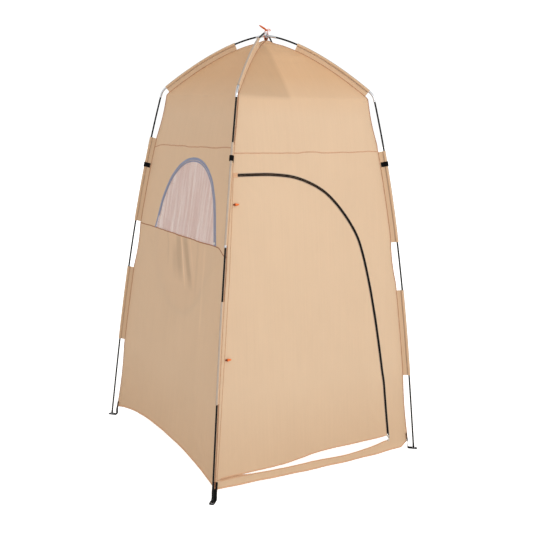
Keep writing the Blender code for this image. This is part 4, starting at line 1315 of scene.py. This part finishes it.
def door_edges():
    """The door's hem, its sewn edge, and tabs over the two ends of the zip."""
    door_piece("door_hem", "canopy", HEM_TAN,
               [wall_tape("front", door_bottom[3:-3] + (0, 0.003), width=0.007, thick=0.0020)])
    piece("door_sewn_edge", "canopy", HEM_TAN,
          [wall_tape("front", hinge_line - (0.0016, 0), width=0.0030, thick=0.0012, lift=0.0002),
           wall_tape("front", [(-0.423, 1.4407), (-0.400, 1.4402)], width=0.0200, thick=0.0009,
                     lift=0.0012, step=0.002)])
    foot = DOOR_ZIP_TO[0]
    piece("door_zip_end_tab", "zip_tape", PIPING,
          [wall_tape("front", [(foot + 0.0002, 0.0715), (foot - 0.0008, 0.0645)], width=0.017,
                     thick=0.0012, lift=0.0006, step=0.002)])


door_cloth()
door_zip()
door_edges()


# ------------------------------------------------------------------ zip sliders
def slider_pose(node, wall, low, high):
    """The slider's own axes at rest: X across the zip, Y up along it, Z out of the wall."""
    start = Vector(taut(wall, *low))
    y = (Vector(taut(wall, *high)) - start).normalized()
    z = Vector(WALLS[wall][1]).cross(y)
    if z.dot(Vector(WALLS[wall][0])) < 0:
        z.negate()
    z.normalize()
    pose = axes_pose(y.cross(z).normalized(), y, z, start)
    # centred on the frame's own slider
    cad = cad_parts[node]
    turn = np.array(pose.to_3x3())
    points = np.array([(cad.matrix_world @ v.co)[:] for v in cad.data.vertices])
    points = (points - np.array(pose.translation)) @ turn
    low, high = points.min(0), points.max(0)
    shift = np.array(((high[0] + low[0]) / 2, (high[1] + low[1]) / 2, high[2] - 0.0062))
    pose.translation = pose.translation + Vector(turn @ shift)
    return pose


def solid(shape, back, front, pose, bevel=0.0004):
    """A flat (x, y) outline given thickness along the pose's Z, its rims chamfered."""
    shape = np.asarray(shape, float)
    centre = shape.mean(0)
    small = centre + (shape - centre) * (1 - bevel / np.abs(shape - centre).max())
    layers = ((small, back), (shape, back + bevel), (shape, front - bevel), (small, front))
    verts = np.concatenate([np.column_stack([s, np.full(len(s), z)]) for s, z in layers])
    count = len(shape)
    faces = [(i * count + k, i * count + (k + 1) % count,
              (i + 1) * count + (k + 1) % count, (i + 1) * count + k)
             for i in range(3) for k in range(count)]
    faces += [tuple(range(count))[::-1], tuple(range(3 * count, 4 * count))]
    return posed((verts, faces, verts[:, :2]), pose)


def block(half_width, low, high, back, front, pose, bevel=0.0001):
    shape = [(-half_width, low), (half_width, low), (half_width, high), (-half_width, high)]
    return solid(shape, back, front, pose, bevel)


def bar(points, radius, pose):
    return posed(tube(points, radius, 8), pose)


def squared(value, power):
    """A sine or cosine swollen toward its ends, to round a square."""
    return np.sign(value) * np.abs(value)**power


# (x, y, z) of the arched bar over the slider
BAIL = ((0, -0.0042, 0.0026), (0, -0.0041, 0.0044), (0, -0.0033, 0.0056), (0, -0.0012, 0.0060),
        (0, 0.0014, 0.0058), (0, 0.0034, 0.0046), (0, 0.0038, 0.0026))


def slider_parts(pose):
    """Two shield-shaped plates, the post between them, and the bail."""
    cos, sin = ring(1, 32).T
    shape = np.stack([0.0047 * squared(cos, 0.75) * (0.86 + 0.14 * sin),
                      0.0054 * squared(sin, 0.8)], 1)
    return [solid(shape, 0.00155, 0.0029, pose), solid(shape, -0.0029, -0.00155, pose),
            block(0.00045, -0.001, 0.0046, -0.0019, 0.0019, pose),
            bar(through(BAIL, 4), 0.00075, pose)]


def pull_parts(pose):
    """A pull tab with an eye at the top, a rounded end and four grip bars."""
    length, width = 0.026, 0.0030
    outline = [(width * math.cos(turn) * 0.98, -length + width + width * math.sin(turn) * 0.98)
               for turn in np.radians(np.linspace(180, 360, 13))]
    outline += [(width * 0.72, -0.008), (width * 0.78, -0.0065),
                (-width * 0.78, -0.0065), (-width * 0.72, -0.008)]
    eye = [(0.0022 * math.cos(turn), -0.0034 + 0.0036 * math.sin(turn), 0)
           for turn in np.linspace(math.radians(-70), math.radians(250), 21)]
    grips = [block(0.0016, y, y + 0.0006, -0.0007, 0.0007, pose)
             for y in (-0.014, -0.0156, -0.0172, -0.0188)]
    return [solid(outline, -0.0005, 0.0005, pose, 0.0002), bar(eye, 0.0006, pose), *grips]


door_pose = slider_pose("door_slider", "front", DOOR_ZIP_TO, DOOR_ZIP_BEND[-1])
piece("door_zip_slider", "zip_metal", SLIDER_METAL, slider_parts(door_pose), "door_slider",
      body="door_slider_body", angle=35)
piece("door_zip_pull", "zip_metal", SLIDER_METAL,
      pull_parts(door_pose @ Matrix.Translation((0, -0.0005, 0.0043))), "door_slider_pull",
      body="door_pull_body", angle=35)
# a block across the zip, below the slider
piece("door_zip_stop", "zip_metal", SLIDER_METAL,
      [block(0.0034, -0.0012, 0.0012, -0.0009, 0.0022,
             door_pose @ Matrix.Translation((0, -0.0095, 0)), bevel=0.0003)], angle=35)


# ------------------------------------------------------------------ the window
def netting():
    """The window's netting: folded, but flat beside the slider and clear of the toggles."""
    flat, faces = region(arch_loop(0.0005, MID_Z + 0.001, base_out=0.0005), [], 0.006)
    across, along = flat.T
    z = z_at(along)
    height = np.clip((z - MID_Z) / 0.36, 0, 1)
    folds = (0.0016 * wave_noise(across * 34 + along * 2.2, along * 2.5, 91)
             + 0.0008 * wave_noise(across * 88, along * 3, 92))
    folds *= ease(height, 1.0, 0.55) * freedom("left", across, z)
    # distance in from the slider's straight run
    end_across, end_z = WINDOW_BEND[-1]
    low_z = MID_Z + 0.004
    slide = WINDOW_BASE[1] - (WINDOW_BASE[1] - end_across) * (z - low_z) / (end_z - low_z)
    inward = slide - across
    folds *= 1 - (1 - ease(inward, 0.004, 0.024)) * ease(z, 1.30, 1.26)
    near = (ease(z, 1.205, 1.172) * ease(z, MID_Z + 0.001, MID_Z + 0.005)
            * ease(inward, 0.004, 0.040))
    folds = folds * (1 - near) + near * (0.0026 + 0.2 * np.abs(folds))
    piece("window_netting", "mesh", NETTING,
          [(cloth_points("left", flat, -0.0012, folds), faces, flat)], "window_mesh", angle=None)


netting()
piece("window_zip_tape", "zip_tape", WINDOW_TAPE,
      [wall_tape("left", beside(ARCH, 0.0071), width=0.0118, thick=0.0009, lift=0.0006),
       wall_tape("left", beside(ARCH, -0.0049), width=0.0070, thick=0.0009, lift=0.0006)],
      "window_zip")
piece("window_zip_teeth", "zip_tape", WINDOW_COIL,
      [coil("left", resample(ARCH, FINE_STEP), 0.00125, radius=0.0006)])
window_pose = slider_pose("window_slider", "left", (WINDOW_BASE[1], MID_Z + 0.004),
                          WINDOW_BEND[-1])
piece("window_zip_slider", "zip_metal", SLIDER_METAL, slider_parts(window_pose), "window_slider",
      body="window_slider_body", angle=35)

FLAP_Z = MID_Z - 0.004          # the flap hangs inside the wall from this height
FLAP_LIFT = -0.010


def flap_piece(name, slot, material, parts, *replaced, angle=60):
    """A piece for the window flap, its transform baked into its mesh; it is not attached to a body.
    """
    obj = build(name, material, parts, replaced, angle)
    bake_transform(obj)


def window_flap():
    """The window's cover hanging open below it: the arch upside down, with its zip tape."""
    edge = beside(ARCH, -0.002)
    edge = np.stack([edge[:, 0], 2 * FLAP_Z - edge[:, 1] + 0.006], 1)
    edge[0, 1] = edge[-1, 1] = FLAP_Z + 0.001
    top = np.stack([np.linspace(edge[-1, 0], edge[0, 0], 80), np.full(80, FLAP_Z + 0.001)], 1)
    # close rows of points where the cloth bends
    rows = np.array([(across, along_at(FLAP_Z - gap)) for gap in (0.002, 0.005, 0.008, 0.011, 0.015)
                     for across in np.arange(edge[0, 0] + 0.008, edge[-1, 0] - 0.006, 0.007)])
    flat, faces = region(cloth(np.concatenate([edge, top[1:-1]]))[::-1], [], 0.009, rows)
    across, along = flat.T
    folds = (0.0016 * wave_noise(across * 22, along * 2.0, 95)
             + 0.0010 * wave_noise(across * 48, along * 2.5, 96))
    folds *= ease(FLAP_Z - z_at(along), 0.0, 0.12)
    flap_piece("window_flap_cloth", "canopy", FLAP_CLOTH,
               [(cloth_points("left", flat, FLAP_LIFT, folds), faces, flat + (3, 1))],
               "window_flap", angle=None)
    flap_piece("window_flap_tape", "zip_tape", WINDOW_TAPE,
               [wall_tape("left", beside(resample(edge[2:-2], TAPE_STEP), 0.005), width=0.010,
                          thick=0.0008, lift=FLAP_LIFT)])


window_flap()

# --------------------------------------------------------------------- toggles
# lathe profiles: distance along the toggle from its sewn end, radius
HORN = [(-0.0043, 0.0003), (-0.0046, 0.0046), (-0.0056, 0.0058), (-0.0072, 0.0062),
        (-0.0092, 0.0061), (-0.0100, 0.0055), (-0.0106, 0.0055), (-0.0114, 0.0059),
        (-0.0132, 0.0056), (-0.0140, 0.0049), (-0.0146, 0.0049), (-0.0154, 0.0051),
        (-0.0182, 0.0046), (-0.0212, 0.0038), (-0.0240, 0.0031), (-0.0262, 0.0025),
        (-0.0274, 0.0015), (-0.0280, 0.0003)]
HORN_KNOT = [(-0.0004, 0.0004), (-0.0008, 0.0022), (-0.0018, 0.0034), (-0.0030, 0.0036),
             (-0.0040, 0.0040), (-0.0047, 0.0052), (-0.0052, 0.0056), (-0.0058, 0.0030),
             (-0.0059, 0.0004)]
BARREL = [(-0.0138, 0.0002), (-0.0140, 0.0016), (-0.0148, 0.0026), (-0.0170, 0.0030),
          (-0.0200, 0.0030), (-0.0222, 0.0026), (-0.0260, 0.0023), (-0.0300, 0.0023),
          (-0.0338, 0.0026), (-0.0362, 0.0030), (-0.0392, 0.0030), (-0.0408, 0.0025),
          (-0.0418, 0.0014), (-0.0420, 0.0002)]
BARREL_KNOT = [(-0.0110, 0.0003), (-0.0114, 0.0014), (-0.0124, 0.0019), (-0.0136, 0.0018),
               (-0.0142, 0.0004)]
# (x, y, z) of the tape that holds a toggle, in the toggle's axes
DOOR_TAB = through([(0, 0.0070, -0.0008), (0, 0.0058, -0.0010), (0, 0.0032, -0.0008),
                    (0, 0.0012, -0.0004), (0, 0.0002, -0.0002)], 4)
WINDOW_TAB = np.array([(0, 0.0026, 0.0068), (0, 0.0024, 0.0040), (0, 0.0014, 0.0014),
                       (0, 0.0, -0.0006)])
DOOR_TOGGLES = (("upper", 1.313), ("lower", 0.630))         # name, z
WINDOW_TOGGLES = (("left", -0.126), ("right", 0.197))       # name, across
WINDOW_TOGGLE_Z = 1.156


def toggle_pose(wall, across, z, lift, lying):
    """Axes at the sewn end: the toggle runs along their -Z, level if lying, else down."""
    right = WALLS[wall][1]
    here = taut(wall, across, z, lift)
    up_wall = unit(here - taut(wall, across, z - 0.03, lift))
    side = np.cross(up_wall, right)
    axes = (up_wall, side, -right) if lying else (right, side, up_wall)
    return axes_pose(*axes, here)


def turned(stations, pose, sides=20):
    z, radius = np.array(stations).T
    line = np.stack([0 * z, 0 * z, z], 1)
    return posed(sweep(line, X_AXIS, Y_AXIS, rings(radius, sides)), pose)


def toggle(kind, which, pose, stations, material, knot, reach):
    """A moulded toggle on a doubled cord with a knot."""
    name, node = f"toggle_{kind}_{which}", f"{kind}_toggle_{which}"
    body = f"{node}_body"
    piece(name, "toggle", material, [turned(stations, pose)], node, body=body, angle=45)
    cords = [bar(through([(side * 0.0006, 0.0, -reach), (side * 0.0011, 0, -0.65 * reach),
                          (side * 0.0009, 0, -0.3 * reach), (side * 0.0004, 0, -0.0004),
                          (0, 0, 0.0006)], 4), 0.00065, pose) for side in (1, -1)]
    piece(name + "_cord", "tie_cord", ORANGE, cords, body=body)
    piece(name + "_knot", "tie_cord", KNOT_IN_SHADE, [turned(knot, pose, 14)], body=body)


def toggle_tab(name, body, material, path, width, pose):
    """The folded tape at the toggle's sewn end."""
    part = sweep(path, X_AXIS, np.cross(tangents(path), X_AXIS), flat_section(width, 0.0010))
    piece(name, "loop_tape", material, [posed(part, pose)], body=body)


for which, z in DOOR_TOGGLES:
    pose = toggle_pose("front", hinge_at(z) + 0.0015, z, 0.0076, lying=True)
    toggle("door", which, pose, HORN, TOGGLE, HORN_KNOT, reach=0.0060)
    toggle_tab(f"toggle_tab_{which}", "door", LOOP_BROWN, DOOR_TAB, 0.0062, pose)
for which, across in WINDOW_TOGGLES:
    pose = toggle_pose("left", across, WINDOW_TOGGLE_Z, -0.0045, lying=False)
    toggle("window", which, pose, BARREL, TOGGLE_RED, BARREL_KNOT, reach=0.0142)
    toggle_tab(f"toggle_tab_window_{which}", "tent", RED_TAPE, WINDOW_TAB, 0.0060, pose)

# --------------------------------------------------------------------- the peak
CORD_LOW_Z, CORD_HIGH_Z = 2.0725, 2.1150
KNOT_CORE = [(0, 0, 2.1140), (0.0004, 0.0002, 2.1175), (0, 0, 2.1205)]
CORD_TAIL = [(-0.001, 0.001, 2.1190), (-0.012, 0.004, 2.1255), (-0.024, 0.007, 2.1300),
             (-0.036, 0.009, 2.1392)]
CORD_BIGHT = [(0.001, -0.001, 2.1190), (0.012, -0.003, 2.1235), (0.021, -0.004, 2.1200),
              (0.019, -0.005, 2.1150), (0.008, -0.003, 2.1160), (0.001, 0.0, 2.1180)]


def closed_sweep(points, first, section):
    padded = np.concatenate([points[-3:], points, points[:3]])
    run = unit(np.gradient(padded, axis=0)[3:-3])
    return sweep(points, first, np.cross(run, first), section, closed=True)


def strand(start):
    """One of the three strands twisted round the cord's tail."""
    points = []
    for part in np.linspace(0, 1, 15):
        swell = 0.0027 * math.sin(math.pi * min(1.0, 0.25 + 0.85 * part)) + 0.0006
        sway = swell * math.cos(start + 5 * part) * 0.7
        points.append((-0.034 * part + sway, 0.006 * part + sway,
                       2.1185 + 0.0195 * part + swell * math.sin(start + 5 * part)))
    return tube(points, 0.0024, 9)


def apex_cord():
    """A cord ring round the crossing, its knot, twisted tail and bight."""
    turn = math.tau * np.arange(64) / 64
    cos, sin = np.cos(turn), np.sin(turn)
    hoop = np.stack([0.0118 * squared(cos, 0.7), 0.0014 * np.sin(turn * 2),
                     0.5 * (CORD_LOW_Z + CORD_HIGH_Z)
                     + 0.5 * (CORD_HIGH_Z - CORD_LOW_Z) * squared(sin, 0.7)], 1)
    knot = []
    for turn in np.linspace(0, math.tau, 60):
        radius = 0.0042 * (1 + 0.35 * math.cos(turn * 3))
        knot.append((radius * math.cos(turn * 2), radius * math.sin(turn * 2),
                     2.1178 + 0.0026 * math.sin(turn * 3)))
    piece("apex_cord", "tie_cord", ORANGE,
          [closed_sweep(hoop, Y_AXIS, ring(0.0015, 10)), tube(knot, 0.0017, 9),
           tube(KNOT_CORE, 0.0028), tube(through(CORD_TAIL, 8), 0.00190, 9),
           *(strand(math.tau * k / 3) for k in range(3)),
           tube(through(CORD_BIGHT, 8), 0.0016, 9)], "apex_tie_cord")


def apex_loop():
    """The tape loop that the canopy's tip hangs from."""
    cos, sin = ring(1, 40).T
    line = np.stack([0 * cos, 0.0073 * squared(cos, 0.6), 2.0755 + 0.0071 * squared(sin, 0.6)], 1)
    piece("apex_loop_tape", "loop_tape", LOOP_BROWN,
          [closed_sweep(line, X_AXIS, flat_section(0.012, 0.0014))], "apex_loop")


apex_cord()
apex_loop()

# ----------------------------------------------------------- floor, light, camera
scene = bpy.context.scene
scene.view_settings.view_transform = "Standard"
scene.view_settings.look = "None"
scene.view_settings.exposure = 0.0
scene.view_settings.gamma = 1.0

FLOOR_HALF, FLOOR_Z = 30.0, -0.0005
FLOOR_GLOW = (0.13, 0.84)       # emission as it lights the tent, and as the camera sees it


def floor_material():
    look = Look("white studio floor")
    spot = look.noise(scale=(2.5, 2.5, 2.5), detail=3, source="Object")
    tone = look.span(spot, of=(0.3, 0.7), to=(0.995, 1.005))
    look.base(look.shade((0.62, 0.62, 0.62), tone), rough=0.85, specular=0.1)
    look.shader.inputs["Emission Color"].default_value = (1.0, 1.0, 1.0, 1)
    camera_ray = look.node("ShaderNodeLightPath").outputs["Is Camera Ray"]
    look.feed(look.shader.inputs["Emission Strength"], look.span(camera_ray, to=FLOOR_GLOW))
    return look.material


def studio_floor():
    uv = [(0, 0), (1, 0), (1, 1), (0, 1)]
    verts = [((2 * u - 1) * FLOOR_HALF, (2 * v - 1) * FLOOR_HALF, FLOOR_Z) for u, v in uv]
    add_mesh("floor", (verts, [(0, 1, 2, 3)], uv), floor_material())


def studio_world():
    """White to the camera; as a light, brightest low down and toward the front."""
    world = bpy.data.worlds.new("studio")
    scene.world = world
    world.use_nodes = True
    graph = Graph(world.node_tree)
    graph.tree.nodes.clear()
    direction = graph.node("ShaderNodeTexCoord").outputs["Generated"]
    split = graph.node("ShaderNodeSeparateXYZ")
    graph.feed(split.inputs[0], direction)
    rise = graph.span(split.outputs["Z"], to=(1.20, 0.46))
    facing = graph.node("ShaderNodeVectorMath", operation="DOT_PRODUCT")
    graph.feed(facing.inputs[0], direction)
    facing.inputs[1].default_value = tuple(Vector((0.22, -0.92, 0.22)).normalized())
    front = graph.span(facing.outputs["Value"], of=(-0.50, 0.95), to=(1.16, 1.27),
                       curve="SMOOTHSTEP")
    power = graph.times(rise, front)
    backgrounds = []
    for colour, strength in (((1.0, 0.985, 0.965, 1), power), ((1, 1, 1, 1), 1.05)):
        background = graph.node("ShaderNodeBackground")
        graph.feed(background.inputs["Color"], colour)
        graph.feed(background.inputs["Strength"], strength)
        backgrounds.append(background.outputs[0])
    camera_ray = graph.node("ShaderNodeLightPath").outputs["Is Camera Ray"]
    graph.feed(graph.node("ShaderNodeOutputWorld").inputs["Surface"],
               graph.mix_shader(camera_ray, *backgrounds))


def key_light(position, target, size, watts, colour):
    """A square softbox in front of the tent, hidden from the camera."""
    data = bpy.data.lights.new("key", "AREA")
    data.shape = "RECTANGLE"
    data.size = data.size_y = size
    data.energy = watts
    data.color = colour
    lamp = bpy.data.objects.new("key", data)
    scene.collection.objects.link(lamp)
    lamp.location = position
    aim = Vector(target) - Vector(position)
    lamp.rotation_euler = aim.to_track_quat("-Z", "Y").to_euler()
    lamp.visible_camera = False


def add_camera(azimuth, yaw, pitch, roll, distance, eye_z, lens):
    """The main view: it stands at `azimuth` round the tent and faces its middle, but for `yaw`.

    Angles are in radians and the lens in millimetres on a 36 mm sensor.
    """
    turn = azimuth + yaw
    forward = Vector((-math.sin(turn) * math.cos(pitch), math.cos(turn) * math.cos(pitch),
                      math.sin(pitch)))
    right = Vector((math.cos(turn), math.sin(turn), 0))
    above = right.cross(forward)
    data = bpy.data.cameras.new("camera")
    data.sensor_width = 36
    data.lens = lens
    data.clip_end = 200
    camera = bpy.data.objects.new("camera", data)
    scene.collection.objects.link(camera)
    camera.matrix_world = axes_pose(
        right * math.cos(roll) + above * math.sin(roll),
        above * math.cos(roll) - right * math.sin(roll), -forward,
        (distance * math.sin(azimuth), -distance * math.cos(azimuth), eye_z))
    scene.camera = camera


studio_floor()
studio_world()
key_light(position=(0.3, -4.7, 2.7), target=(0, 0, 1.35), size=2.4, watts=72,
          colour=(1.0, 0.985, 0.96))
add_camera(azimuth=-0.56098, yaw=-0.00783, pitch=-0.19409, roll=0.02576, distance=4.06516,
           eye_z=1.71756, lens=53.044953)
